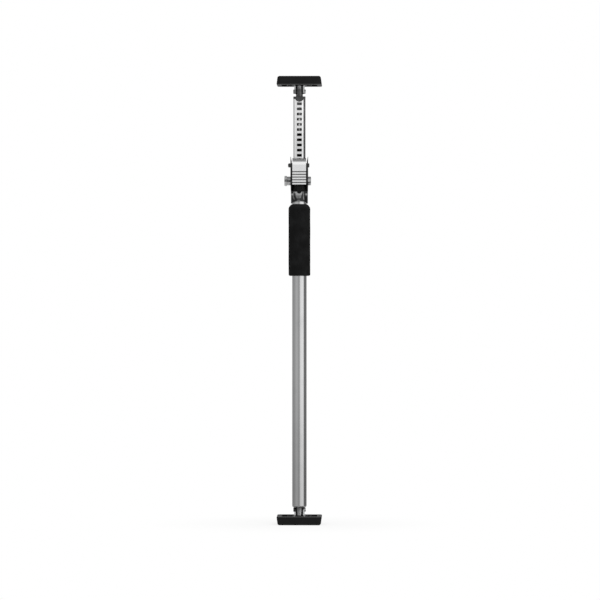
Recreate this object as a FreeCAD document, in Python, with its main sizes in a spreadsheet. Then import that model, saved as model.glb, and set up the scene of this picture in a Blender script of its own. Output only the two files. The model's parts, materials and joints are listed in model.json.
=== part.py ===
"""Telescopic ceiling support: a slotted bar that a thumb lever locks at any slot above its tube.

Millimetres, +Z up. The origin is the middle of the foot pad's contact face, and the front of the
support, with the slots and the lever, faces -Y.
"""

import FreeCAD, Part
import math
import os

import Sketcher

doc = FreeCAD.newDocument("ceiling_support")
sheet = doc.addObject("Spreadsheet::Sheet", "dims")
pieces = []

X_AXIS = FreeCAD.Vector(1, 0, 0)
Z_AXIS = FreeCAD.Vector(0, 0, 1)
DIAGONAL = FreeCAD.Vector(1, 1, 1)
THIRD_TURN = 120
TOUCH = 1e-4
LOFT_CORNER = math.radians(30)
HEXAGON_SIDES = 6
SKETCH_ORIGIN = -1
SKETCH_X_AXIS = -1
SKETCH_Y_AXIS = -2
START = 1
END = 2
CENTRE = 3


class Size:
    """A number together with the sheet formula that gives it."""

    def __init__(self, value, formula):
        self.value = float(value)
        self.formula = formula

    def __add__(self, other):
        other = as_size(other)
        return Size(self.value + other.value, f"({self.formula} + {other.formula})")

    def __sub__(self, other):
        other = as_size(other)
        return Size(self.value - other.value, f"({self.formula} - {other.formula})")

    def __mul__(self, other):
        other = as_size(other)
        return Size(self.value * other.value, f"({self.formula} * {other.formula})")

    def __truediv__(self, other):
        other = as_size(other)
        return Size(self.value / other.value, f"({self.formula} / {other.formula})")

    def __neg__(self):
        return Size(-self.value, f"(0 - {self.formula})")

    def __radd__(self, other):
        return as_size(other) + self

    def __rsub__(self, other):
        return as_size(other) - self

    def __rmul__(self, other):
        return as_size(other) * self


def as_size(number):
    """Take a plain number as a size with no cell behind it."""
    return number if isinstance(number, Size) else Size(number, repr(number))


def size(alias, value, meaning):
    """Write one driving dimension into the sheet and hand back its size."""
    size.row += 1
    sheet.set(f"A{size.row}", meaning)
    sheet.set(f"B{size.row}", str(value))
    sheet.setAlias(f"B{size.row}", alias)
    return Size(value, f"dims.{alias}")


size.row = 0


def sine(angle):
    return Size(math.sin(math.radians(angle.value)), f"sin({angle.formula})")


def cosine(angle):
    return Size(math.cos(math.radians(angle.value)), f"cos({angle.formula})")


def root(square):
    return Size(math.sqrt(square.value), f"sqrt({square.formula})")


def arc_tangent(slope):
    return Size(math.degrees(math.atan(slope.value)), f"atan({slope.formula})")


# Driving dimensions: the tube and the bar

tube_diameter = size("tube_diameter", 25.0, "outer tube, outside diameter")
tube_wall = size("tube_wall", 1.2, "outer tube, wall")
tube_length = size("tube_length", 540.5, "outer tube, length")
roll_radius = size("roll_radius", 3.0, "outer tube's rolled lower edge, outside radius")
roll_opening = size("roll_opening", 8.6, "outer tube's rolled lower edge, radius of its opening")
bar_corner_gap = size("bar_corner_gap", 0.7, "bar's corners to the tube's bore")
bar_depth = size("bar_depth", 12.0, "slotted bar, front to back")
bar_wall = size("bar_wall", 1.5, "slotted bar, wall")
bar_corner = size("bar_corner", 5.0, "slotted bar, corner radius")
hook_height = size("hook_height", 58.4, "slot that the lever holds, above the tube's top")
slot_width = size("slot_width", 8.4, "slot, across the bar")
slot_height = size("slot_height", 4.8, "slot, along the bar")
slot_corner = size("slot_corner", 1.2, "slot, corner radius")
slot_pitch = size("slot_pitch", 8.9, "slot to slot")
slot_count = size("slot_count", 49, "slots in the bar")
first_slot = size("first_slot", 8.3, "bar's upper end to the first slot")
rest_slot = size("rest_slot", 11, "slots above the one that the lever holds")
glide_base = size("glide_base", 14.0, "bar glide below the bar's lower end")
glide_gap = size("glide_gap", 0.15, "bar glide to the tube's bore")
end_gap = size("end_gap", 12.0, "bar glide to the foot plug, fully lowered")
stem_length = size("stem_length", 24.0, "plug or glide inside the bar")
stem_gap = size("stem_gap", 0.05, "plug or glide to the wall around it")

# Driving dimensions: pads and swivels, the same at both ends

pad_width = size("pad_width", 78.0, "pad, across the rim")
pad_draft = size("pad_draft", 2.0, "pad, taper of each side to the face")
pad_height = size("pad_height", 14.8, "pad, face to rim")
pad_corner = size("pad_corner", 6.0, "pad, corner radius at the rim")
pad_floor = size("pad_floor", 9.8, "rubber between the face and the plate")
pad_wall = size("pad_wall", 4.0, "rubber outside the plate")
pad_lip = size("pad_lip", 4.6, "rubber lip over the plate's edge")
face_chamfer = size("face_chamfer", 2.0, "pad, chamfer round the face")
rim_round = size("rim_round", 1.3, "pad, rounding of the rim")
tread_count = size("tread_count", 7, "tread grooves in the face")
tread_pitch = size("tread_pitch", 8.6, "tread groove to groove")
tread_width = size("tread_width", 3.0, "tread groove, width")
tread_depth = size("tread_depth", 1.5, "tread groove, depth")
tread_corner = size("tread_corner", 1.0, "tread groove, corner radius")
tread_margin = size("tread_margin", 8.0, "tread groove's end to the face's edge")
plate_thickness = size("plate_thickness", 2.0, "pad plate")
pin_height = size("pin_height", 25.2, "pivot pin above the pad's face")
pin_diameter = size("pin_diameter", 6.0, "pivot pin")
pin_head = size("pin_head", 7.4, "pivot pin's head and cap, diameter")
pin_head_height = size("pin_head_height", 2.0, "pivot pin's head")
pin_cap_height = size("pin_cap_height", 1.6, "pivot pin's cap")
ear_thickness = size("ear_thickness", 2.4, "ear, sheet")
ear_bend = size("ear_bend", 2.0, "ear, inside bend radius")
ear_flange = size("ear_flange", 15.0, "ear's flange, from the ear's inner face")
ear_root = size("ear_root", 18.0, "ear, width at its root")
ear_tip = size("ear_tip", 3.9, "ear above the pin")
ear_tip_half = size("ear_tip_half", 2.6, "ear, half its tip's width before it is rounded")
ear_tip_round = size("ear_tip_round", 3.6, "ear, rounding of its tip")
ear_rivet = size("ear_rivet", 4.0, "ear rivet, shank")
ear_rivet_head = size("ear_rivet_head", 6.6, "ear rivet, head")
ear_rivet_dome = size("ear_rivet_dome", 1.8, "ear rivet, head height")
stud_diameter = size("stud_diameter", 12.0, "swivel stud")
stud_flats = size("stud_flats", 8.0, "swivel stud, across its flats")
stud_reach = size("stud_reach", 12.0, "swivel stud's tip beyond the pin")
stud_tip_round = size("stud_tip_round", 2.0, "swivel stud's tip, edge radius")
journal_diameter = size("journal_diameter", 6.0, "swivel stud's journal")
groove_depth = size("groove_depth", 0.7, "clip groove in the journal")
clip_diameter = size("clip_diameter", 8.4, "retaining clip, outside")
clip_thickness = size("clip_thickness", 0.8, "retaining clip")
clip_mouth = size("clip_mouth", 3.0, "retaining clip's opening")
journal_tail = size("journal_tail", 1.2, "journal beyond the clip")
friction_width = size("friction_width", 9.6, "friction plate, width")
friction_thickness = size("friction_thickness", 2.3, "friction plate")
friction_lift = size("friction_lift", 0.6, "friction plate's square end to the pad's plate")
running_gap = size("running_gap", 0.05, "shaft to its hole")
face_gap = size("face_gap", 0.1, "flat faces that turn on each other")
seat_gap = size("seat_gap", 0.2, "shoulder or clip to the plug it turns on")
foot_lift = size("foot_lift", 4.3, "tube's lower end above the foot's pin")
foot_recess = size("foot_recess", 3.2, "foot plug inside the tube's end")
foot_plug_length = size("foot_plug_length", 17.8, "foot plug")
head_drop = size("head_drop", 8.6, "head plug's top below the head's pin")
plug_cap = size("plug_cap", 4.3, "head plug above the bar's end")
key_width = size("key_width", 14.4, "head plug's key and its notch")
key_depth = size("key_depth", 4.9, "head plug's key down the bar's front")
cross_rivet = size("cross_rivet", 4.0, "rivet that holds a plug, shank")
cross_rivet_head = size("cross_rivet_head", 6.6, "rivet that holds a plug, head")
cross_rivet_dome = size("cross_rivet_dome", 1.4, "rivet that holds a plug, head height")
cross_rivet_round = size("cross_rivet_round", 1.1, "rivet that holds a plug, rounding of its head")
cross_rivet_depth = size("cross_rivet_depth", 3.0, "rivet's end inside the plug")
plug_rivet_height = size("plug_rivet_height", 11.0, "plug's rivet from the end of the tube or bar")

# Driving dimensions: the grip, the ratchet housing and its lever

grip_wall = size("grip_wall", 6.4, "foam grip, wall")
grip_length = size("grip_length", 124.0, "foam grip, length")
grip_drop = size("grip_drop", 17.0, "grip's upper end below the tube's")
grip_top_round = size("grip_top_round", 5.8, "foam grip, rounding at the top")
grip_foot_round = size("grip_foot_round", 3.5, "foam grip, rounding at the bottom")
housing_wall = size("housing_wall", 2.2, "ratchet housing, sheet")
housing_gap = size("housing_gap", 0.05, "housing's sleeve to the tube")
sleeve_drop = size("sleeve_drop", 15.8, "sleeve's lower end below the tube's top")
sleeve_straight = size("sleeve_straight", 11.8, "round stretch of the sleeve")
arch_rise = size("arch_rise", 3.8, "arch in the sleeve's lower edge, height")
arch_radius = size("arch_radius", 32.0, "arch in the sleeve's lower edge, radius")
flare_height = size("flare_height", 20.0, "stretch that opens into the cheeks")
sleeve_front = size("sleeve_front", 5.0, "sleeve's front edge above the tube's top")
cheek_spread = size("cheek_spread", 0.5, "cheek outside the line of the tube's side")
cheek_back = size("cheek_back", 11.8, "housing's back behind the tube's axis")
cheek_front = size("cheek_front", 20.0, "cheek's front edge before the tube's axis")
cheek_corner = size("cheek_corner", 4.0, "housing, outside bend radius at the back")
cheek_top = size("cheek_top", 64.6, "cheek's point above the tube's top")
cheek_back_top = size("cheek_back_top", 43.0, "housing's back above the tube's top")
point_taper = size("point_taper", 8.6, "cheek's point, tapered stretch")
point_tip = size("point_tip", 0.5, "cheek's point, sheet left at its tip")
notch_radius = size("notch_radius", 4.2, "half-round notch in the sleeve's front")
stake_diameter = size("stake_diameter", 3.6, "stake mark on the sleeve")
stake_depth = size("stake_depth", 0.7, "stake mark, depth")
stake_spread = size("stake_spread", 6.0, "stake mark to the middle")
bush_length = size("bush_length", 32.0, "guide bush inside the tube")
bush_collar = size("bush_collar", 16.0, "guide bush above the tube's top")
bush_gap = size("bush_gap", 0.15, "guide bush to the bar")
bush_tongue = size("bush_tongue", 21.0, "guide bush's back tongue above its collar")
bush_tongue_width = size("bush_tongue_width", 17.0, "guide bush's back tongue, width")
lever_side_gap = size("lever_side_gap", 1.2, "lever to each cheek")
lever_sheet = size("lever_sheet", 2.0, "lever, sheet")
lever_length = size("lever_length", 42.0, "lever's thumb plate")
lever_lean = size("lever_lean", 15.0, "lever's lean from upright, degrees")
hook_radius = size("hook_radius", 7.0, "lever's hook, outside radius")
hook_slope = size("hook_slope", 35.0, "lever's hook, slope at its end, degrees")
hook_end = size("hook_end", 3.5, "lever's hook, straight end")
hook_short = size("hook_short", 0.25, "lever's hook short of the wall's inner face")
hook_rise = size("hook_rise", 0.45, "lever's hook end above the slot's middle")
hook_side_gap = size("hook_side_gap", 0.5, "lever's tongue to each side of the slot")
hook_clear = size("hook_clear", 1.4, "lever's full width to the bar's face")
eye_radius = size("eye_radius", 4.5, "lever's eye round its pin")
eye_gap = size("eye_gap", 0.5, "lever's eye to the bar's face")
eye_drop = size("eye_drop", 8.8, "lever's pin below the slot that it holds")
lever_flange = size("lever_flange", 26.0, "lever's side flange down the thumb plate")
rib_count = 5
rib_first = size("rib_first", 3.4, "lowest groove of the thumb plate from its end")
rib_pitch = size("rib_pitch", 4.85, "thumb plate, groove to groove")
rib_radius = size("rib_radius", 0.8, "thumb plate's groove, radius")
lever_pin_diameter = size("lever_pin_diameter", 5.0, "lever pin")
lever_pin_head = size("lever_pin_head", 7.2, "lever pin's head and cap, diameter")
lever_pin_head_height = size("lever_pin_head_height", 2.2, "lever pin's head")
lever_pin_cap_height = size("lever_pin_cap_height", 4.2, "lever pin's cap")
spacer_diameter = size("spacer_diameter", 8.0, "lever pin's spacers, outside")
spring_wire = size("spring_wire", 1.0, "lever spring, wire")
spring_radius = size("spring_radius", 3.6, "lever spring, radius of its coil")
spring_pitch = size("spring_pitch", 1.15, "lever spring, turn to turn")
spring_enter = size("spring_enter", -64.0, "lever spring, where its short leg ends on the coil, degrees")
spring_turns = 4
bolt_diameter = size("bolt_diameter", 8.0, "cross bolt")
bolt_height = size("bolt_height", 22.7, "cross bolt above the tube's top")
bolt_flats = size("bolt_flats", 13.0, "cross bolt's head and nut, across flats")
bolt_head = size("bolt_head", 5.0, "cross bolt's head")
nut_height = size("nut_height", 6.2, "cross bolt's nut")
hex_chamfer = size("hex_chamfer", 0.6, "chamfer on the hexagons' corners")
lock_nut_diameter = size("lock_nut_diameter", 17.4, "round lock nut")
lock_nut_height = size("lock_nut_height", 4.2, "round lock nut")
lock_nut_round = size("lock_nut_round", 1.0, "round lock nut, edge")
sleeve_diameter = size("sleeve_diameter", 12.0, "cross bolt's sleeve")
sleeve_gap = size("sleeve_gap", 0.35, "cross bolt's sleeve to the bar's face")
doc.recompute()

# Sizes and places that follow from them

tube_radius = tube_diameter / 2
bore_radius = tube_radius - tube_wall
tube_base = pin_height + foot_lift
tube_top = tube_base + tube_length
bar_front = bar_depth / 2
corner_reach = bore_radius - bar_corner_gap - bar_corner
corner_front = bar_front - bar_corner
bar_half_width = bar_corner + root(corner_reach * corner_reach - corner_front * corner_front)
bar_inner_half_width = bar_half_width - bar_wall
bar_inner_front = bar_front - bar_wall
bar_inner_corner = bar_corner - bar_wall
held_slot = tube_top + hook_height
top_slot = held_slot + rest_slot * slot_pitch
bar_top = top_slot + first_slot
foot_seat = tube_base + foot_recess
foot_plug_top = foot_seat + foot_plug_length
bar_base = foot_plug_top + end_gap + rest_slot * slot_pitch + glide_base
head_seat = bar_top + plug_cap
overall_height = head_seat + head_drop + pin_height
ear_gap = stud_flats / 2 + friction_thickness + 2 * face_gap
ear_outside = ear_gap + ear_thickness
plate_half_width = pad_width / 2 - pad_wall
plate_top = pad_floor + plate_thickness
cheek_inside = tube_radius + cheek_spread
cheek_outside = cheek_inside + housing_wall
sleeve_inside = tube_radius + housing_gap
sleeve_outside = sleeve_inside + housing_wall
sleeve_base = tube_top - sleeve_drop
flare_base = sleeve_base + sleeve_straight
flare_top = flare_base + flare_height
front_edge = tube_top + sleeve_front
channel_front = cheek_front + housing_wall + cheek_corner
lever_pin_y = -(bar_front + eye_gap + eye_radius)
lever_pin_z = held_slot - eye_drop
lever_half_width = cheek_inside - lever_side_gap
bolt_y = -(bar_front + sleeve_gap + sleeve_diameter / 2)
bolt_z = tube_top + bolt_height
collar_top = tube_top + bush_collar
clip_bore = journal_diameter / 2 - groove_depth


# Modelling steps that the pieces share


def bind(item, name, value):
    """Let a sheet formula drive one property of a document object."""
    item.setExpression(name, as_size(value).formula)


def new_body(label, group=False):
    """A body for one piece, or for a group of separate equal pieces."""
    body = doc.addObject("PartDesign::Body", label)
    body.Label = label
    body.AllowCompound = group
    pieces.append(body)
    return body


def origin_feature(body, role):
    """The body's own origin plane or axis with this role."""
    return next(item for item in body.Origin.OriginFeatures if item.Role == role)


def sketch_on(body, role, offset=0):
    """An empty sketch on an origin plane, moved along the plane's normal."""
    sketch = body.newObject("Sketcher::SketchObject", "sketch")
    sketch.AttachmentSupport = [(origin_feature(body, role), "")]
    sketch.MapMode = "FlatFace"
    bind(sketch, "AttachmentOffset.Base.z", offset)
    return sketch


def fix_point(sketch, edge, point, x, y):
    """Tie a point of a sketch to the sketch's origin by its two coordinates."""
    for kind, axis, place in (("DistanceX", SKETCH_Y_AXIS, x), ("DistanceY", SKETCH_X_AXIS, y)):
        if as_size(place).formula == "0":
            sketch.addConstraint(Sketcher.Constraint("PointOnObject", edge, point, axis))
            continue
        value = as_size(place).value
        rule = Sketcher.Constraint(kind, SKETCH_ORIGIN, START, edge, point, value)
        bind(sketch, f"Constraints[{sketch.addConstraint(rule)}]", place)


def fix_radius(sketch, edge, radius):
    rule = Sketcher.Constraint("Radius", edge, as_size(radius).value)
    bind(sketch, f"Constraints[{sketch.addConstraint(rule)}]", radius)


def circle(sketch, x, y, radius):
    middle = FreeCAD.Vector(as_size(x).value, as_size(y).value, 0)
    edge = sketch.addGeometry(Part.Circle(middle, Z_AXIS, as_size(radius).value))
    fix_point(sketch, edge, CENTRE, x, y)
    fix_radius(sketch, edge, radius)


def arc_between(start, end, radius):
    """The short arc of this radius from start to end, turning left where the radius is positive."""
    chord = end - start
    height = math.sqrt(radius**2 - (chord.Length / 2) ** 2)
    left = FreeCAD.Vector(-chord.y, chord.x, 0) / chord.Length
    middle = (start + end) / 2 + left * math.copysign(height, radius)
    first, last = (start, end) if radius > 0 else (end, start)
    begin = math.atan2(first.y - middle.y, first.x - middle.x)
    finish = math.atan2(last.y - middle.y, last.x - middle.x)
    if finish < begin:
        finish += 2 * math.pi
    return Part.ArcOfCircle(Part.Circle(middle, Z_AXIS, abs(radius)), begin, finish)


def outline(sketch, corners):
    """A closed chain of edges. A corner is (x, y), or (x, y, radius) where the next edge is an arc,
    which turns left if its radius is positive."""
    points = [FreeCAD.Vector(as_size(c[0]).value, as_size(c[1]).value, 0) for c in corners]
    edges = []
    for number, corner in enumerate(corners):
        start, end = points[number], points[(number + 1) % len(points)]
        if len(corner) == 2:
            edge = sketch.addGeometry(Part.LineSegment(start, end))
            edges.append((edge, START, END))
            continue
        radius = as_size(corner[2])
        edge = sketch.addGeometry(arc_between(start, end, radius.value))
        edges.append((edge, START, END) if radius.value > 0 else (edge, END, START))
    for number, (edge, start, end) in enumerate(edges):
        last_edge, last_start, last_end = edges[number - 1]
        sketch.addConstraint(Sketcher.Constraint("Coincident", last_edge, last_end, edge, start))
        fix_point(sketch, edge, start, *corners[number][:2])
    for (edge, start, end), corner in zip(edges, corners):
        if len(corner) == 3:
            radius = as_size(corner[2])
            fix_radius(sketch, edge, radius if radius.value > 0 else -radius)


def centre_line(sketch, x, low, high):
    """An upright construction line, to turn a profile about."""
    start = FreeCAD.Vector(x.value, low.value, 0)
    end = FreeCAD.Vector(x.value, high.value, 0)
    edge = sketch.addGeometry(Part.LineSegment(start, end), True)
    fix_point(sketch, edge, START, x, low)
    fix_point(sketch, edge, END, x, high)


def rectangle(sketch, half_width, low, high):
    corners = [(half_width, low), (half_width, high), (-half_width, high), (-half_width, low)]
    outline(sketch, corners)


def rounded_rectangle(sketch, half_width, low, high, corner):
    outline(
        sketch,
        [
            (half_width, low + corner),
            (half_width, high - corner, corner),
            (half_width - corner, high),
            (corner - half_width, high, corner),
            (-half_width, high - corner),
            (-half_width, low + corner, corner),
            (corner - half_width, low),
            (half_width - corner, low, corner),
        ],
    )


def round_section(sketch, radius):
    """A circle in eight arcs, which pair with the eight edges of a rounded rectangle in a loft."""
    near = radius * math.sin(LOFT_CORNER)
    far = radius * math.cos(LOFT_CORNER)
    outline(
        sketch,
        [
            (far, -near, radius),
            (far, near, radius),
            (near, far, radius),
            (-near, far, radius),
            (-far, near, radius),
            (-far, -near, radius),
            (-near, -far, radius),
            (near, -far, radius),
        ],
    )


def pad(body, sketch, length, both_ways=False):
    item = body.newObject("PartDesign::Pad", "pad")
    item.Profile = sketch
    item.SideType = "Symmetric" if both_ways else "One side"
    bind(item, "Length", length)
    return item


def cut(body, sketch, depth=None, both_ways=False, backwards=False):
    """Pocket a sketch, against its normal unless backwards, to a depth or right through."""
    doc.recompute()
    before = body.Shape.Volume
    item = body.newObject("PartDesign::Pocket", "cut")
    item.Profile = sketch
    item.SideType = "Symmetric" if both_ways else "One side"
    item.Reversed = backwards
    if depth is None:
        item.Type = "ThroughAll"
    else:
        bind(item, "Length", depth)
    doc.recompute()
    if not body.Shape.Volume < before:
        raise RuntimeError(f"{body.Label}: a cut removes nothing")
    return item


def revolve(body, sketch, axis="V_Axis"):
    """Turn a sketch about its own vertical axis, or about its first construction line."""
    item = body.newObject("PartDesign::Revolution", "turned")
    item.Profile = sketch
    item.ReferenceAxis = (sketch, [axis])
    item.Angle = 360
    return item


def loft(body, kind, first, last):
    item = body.newObject(f"PartDesign::{kind}", "loft")
    item.Profile = first
    item.Sections = [last]
    item.Ruled = True
    return item


def repeat(body, feature, role, step, count):
    """A row of one feature along an origin axis."""
    item = body.newObject("PartDesign::LinearPattern", "row")
    item.Originals = [feature]
    item.Direction = (origin_feature(body, role), [""])
    item.Reversed = step.value < 0
    item.Mode = "Spacing"
    bind(item, "Offset", step if step.value > 0 else -step)
    bind(item, "Occurrences", count)
    body.Tip = item
    return item


def mirror(body, features, role):
    item = body.newObject("PartDesign::Mirrored", "mirrored")
    item.Originals = features
    item.MirrorPlane = (origin_feature(body, role), [""])
    body.Tip = item
    return item


def round_edges(body, radius, wanted, kind="Fillet"):
    """Fillet or chamfer the edges of the body's last feature that a test picks out."""
    doc.recompute()
    base = body.Tip
    names = [f"Edge{n}" for n, edge in enumerate(base.Shape.Edges, 1) if wanted(edge)]
    item = body.newObject(f"PartDesign::{kind}", "edges")
    item.Base = (base, names)
    bind(item, "Radius" if kind == "Fillet" else "Size", radius)
    return item


def level_edge(height):
    """A test for edges that lie at one height."""
    return lambda edge: all(abs(corner.Z - height.value) < TOUCH for corner in edge.Vertexes)


def put(body, x=0, y=0, z=0):
    """Place a body by sheet formulas."""
    for axis, place in (("x", x), ("y", y), ("z", z)):
        bind(body, f"Placement.Base.{axis}", place)


def ring(body, plane, inside, outside, start, length):
    """A flat ring about the axis through the body's origin."""
    sketch = sketch_on(body, plane, start)
    circle(sketch, 0, 0, outside)
    circle(sketch, 0, 0, inside)
    return pad(body, sketch, length)


def headed_pin(label, diameter, half_grip, head, head_height, tail, y, z):
    """A pin along X with its round head at the right."""
    body = new_body(label)
    shank = sketch_on(body, "YZ_Plane", -half_grip - tail)
    circle(shank, 0, 0, diameter / 2)
    pad(body, shank, 2 * half_grip + tail)
    top = sketch_on(body, "YZ_Plane", half_grip)
    circle(top, 0, 0, head / 2)
    pad(body, top, head_height)
    far_end = half_grip + head_height
    round_edges(body, head_height / 2, lambda edge: edge.BoundBox.XMin > far_end.value - TOUCH)
    put(body, 0, y, z)
    return body


def push_cap(label, diameter, half_grip, cap, cap_height, tail, y, z):
    """The domed cap pressed on a pin's left end."""
    body = new_body(label)
    dome = sketch_on(body, "YZ_Plane", -half_grip - cap_height)
    circle(dome, 0, 0, cap / 2)
    pad(body, dome, cap_height)
    far_end = -half_grip - cap_height
    round_edges(body, cap_height - tail, lambda edge: edge.BoundBox.XMax < far_end.value + TOUCH)
    hole = sketch_on(body, "YZ_Plane", -half_grip)
    circle(hole, 0, 0, diameter / 2)
    cut(body, hole, tail)
    put(body, 0, y, z)
    return body


def back_rivet(label, seat, depth, z):
    """A rivet along Y whose head rests at the back, at this distance behind the axis."""
    body = new_body(label)
    shank = sketch_on(body, "XZ_Plane", -seat)
    circle(shank, 0, 0, cross_rivet / 2)
    pad(body, shank, depth)
    head = sketch_on(body, "XZ_Plane", -seat - cross_rivet_dome)
    circle(head, 0, 0, cross_rivet_head / 2)
    pad(body, head, cross_rivet_dome)
    far_end = seat + cross_rivet_dome
    round_edges(body, cross_rivet_round, lambda edge: edge.BoundBox.YMin > far_end.value - TOUCH)
    put(body, 0, 0, z)
    return body


def back_hole(body, z, depth_to=0):
    """The hole for a rivet from the back, as deep as this plane before the axis."""
    sketch = sketch_on(body, "XZ_Plane", -depth_to)
    circle(sketch, 0, z, cross_rivet / 2)
    return cut(body, sketch)


def cross_hole(body, y, z, radius):
    """A hole right through along X."""
    sketch = sketch_on(body, "YZ_Plane")
    circle(sketch, y, z, radius)
    return cut(body, sketch, both_ways=True)


# Pads and swivels


def place_end(body, end):
    """Stand a piece of one end on the floor, or hang it upside down from the ceiling."""
    if end == "head":
        body.Placement.Rotation = FreeCAD.Rotation(X_AXIS, 180)
        bind(body, "Placement.Base.z", overall_height)


def rubber_pad(end):
    """A drafted rubber boot with a treaded face and a lip that holds the plate."""
    body = new_body(f"{end}_pad")
    face_half = pad_width / 2 - pad_draft
    face_corner = pad_corner - pad_draft
    face = sketch_on(body, "XY_Plane")
    rounded_rectangle(face, face_half, -face_half, face_half, face_corner)
    block = pad(body, face, pad_height)
    bind(block, "TaperAngle", arc_tangent(pad_draft / pad_height))
    round_edges(body, face_chamfer, level_edge(as_size(0)), "Chamfer")
    mouth_half = plate_half_width - pad_lip
    mouth = sketch_on(body, "XY_Plane", pad_height)
    rounded_rectangle(mouth, mouth_half, -mouth_half, mouth_half, pad_corner - pad_lip)
    cut(body, mouth, pad_height - plate_top)
    round_edges(body, rim_round, level_edge(pad_height))
    bed = sketch_on(body, "XY_Plane", plate_top)
    bed_half = plate_half_width + stem_gap
    rounded_rectangle(bed, bed_half, -bed_half, bed_half, pad_corner - pad_draft)
    cut(body, bed, plate_thickness)
    groove = sketch_on(body, "XY_Plane")
    groove_half = face_half - tread_margin
    first = -(tread_count - 1) / 2 * tread_pitch
    groove_low = first - tread_width / 2
    rounded_rectangle(groove, groove_half, groove_low, groove_low + tread_width, tread_corner)
    tread = cut(body, groove, tread_depth, backwards=True)
    repeat(body, tread, "Y_Axis", tread_pitch, tread_count)
    place_end(body, end)


def rivet_places():
    """The four ear rivets, in the middle of each flange's free width."""
    x = (ear_outside + ear_bend + ear_gap + ear_flange) / 2
    y = ear_root / 4
    return [(x, y), (x, -y), (-x, y), (-x, -y)]


def pad_plate(end):
    body = new_body(f"{end}_plate")
    sketch = sketch_on(body, "XY_Plane", pad_floor)
    corner = pad_corner - pad_draft
    rounded_rectangle(sketch, plate_half_width, -plate_half_width, plate_half_width, corner)
    pad(body, sketch, plate_thickness)
    holes = sketch_on(body, "XY_Plane", plate_top)
    for x, y in rivet_places():
        circle(holes, x, y, ear_rivet / 2)
    cut(body, holes)
    place_end(body, end)


def pivot_ear(end, side):
    """An ear bent up from its flange, tapered to a round tip at the pin."""
    body = new_body(f"{end}_ear_{side}")
    turn = 1 if side == "right" else -1
    inner, outer = turn * ear_gap, turn * ear_outside
    bend_out = ear_bend + ear_thickness
    low, high = plate_top, plate_top + ear_thickness
    tip = pin_height + ear_tip
    profile = sketch_on(body, "XZ_Plane")
    outline(
        profile,
        [
            (inner + turn * bend_out, low),
            (inner + turn * ear_flange, low),
            (inner + turn * ear_flange, high),
            (outer + turn * ear_bend, high, -turn * ear_bend),
            (outer, high + ear_bend),
            (outer, tip),
            (inner, tip),
            (inner, low + bend_out, turn * bend_out),
        ],
    )
    pad(body, profile, ear_root, both_ways=True)
    taper = sketch_on(body, "YZ_Plane")
    half_root = ear_root / 2
    outline(
        taper,
        [
            (ear_tip_half, tip),
            (half_root, high + ear_bend),
            (half_root + ear_tip, high + ear_bend),
            (half_root + ear_tip, tip),
        ],
    )
    side_cut = cut(body, taper, both_ways=True)
    mirror(body, [side_cut], "XZ_Plane")
    top_edge = level_edge(tip)
    round_edges(body, ear_tip_round, lambda edge: top_edge(edge) and edge.BoundBox.XLength > TOUCH)
    cross_hole(body, 0, pin_height, pin_diameter / 2)
    holes = sketch_on(body, "XY_Plane", high)
    for x, y in rivet_places():
        if x.value * turn > 0:
            circle(holes, x, y, ear_rivet / 2)
    cut(body, holes)
    place_end(body, end)


def ear_rivets(end):
    """Four turned rivets with domed heads, from the underside of the plate up through the flanges."""
    body = new_body(f"{end}_ear_rivets", group=True)
    seat = plate_top + ear_thickness
    top = seat + ear_rivet_dome
    head = ear_rivet_head / 2
    dome = (head * head + ear_rivet_dome * ear_rivet_dome) / (2 * ear_rivet_dome)
    for x, y in rivet_places():
        profile = sketch_on(body, "XZ_Plane", -y)
        outline(
            profile,
            [
                (x, pad_floor),
                (x + ear_rivet / 2, pad_floor),
                (x + ear_rivet / 2, seat),
                (x + head, seat, dome),
                (x, top),
            ],
        )
        centre_line(profile, x, pad_floor, top)
        revolve(body, profile, "Axis0")
    place_end(body, end)


def pivot_pin(end):
    pin = headed_pin(
        f"{end}_pivot_pin",
        pin_diameter,
        ear_outside,
        pin_head,
        pin_head_height,
        pin_cap_height / 2,
        0,
        pin_height,
    )
    cap = push_cap(
        f"{end}_pin_cap",
        pin_diameter,
        ear_outside,
        pin_head,
        pin_cap_height,
        pin_cap_height / 2,
        0,
        pin_height,
    )
    for body in (pin, cap):
        if end == "head":
            bind(body, "Placement.Base.z", overall_height - pin_height)


def friction_plates(end):
    """Two nylon plates on the pin, one at each side of the stud, round above the pin and square below."""
    body = new_body(f"{end}_friction_plates", group=True)
    half_width = friction_width / 2
    low = plate_top + friction_lift
    near = stud_flats / 2 + face_gap
    for start in (near, -near - friction_thickness):
        sketch = sketch_on(body, "YZ_Plane", start)
        outline(
            sketch,
            [
                (half_width, low),
                (half_width, pin_height, half_width),
                (0, pin_height + half_width, half_width),
                (-half_width, pin_height),
                (-half_width, low),
            ],
        )
        circle(sketch, 0, pin_height, pin_diameter / 2 + running_gap)
        pad(body, sketch, friction_thickness)
    place_end(body, end)


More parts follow.
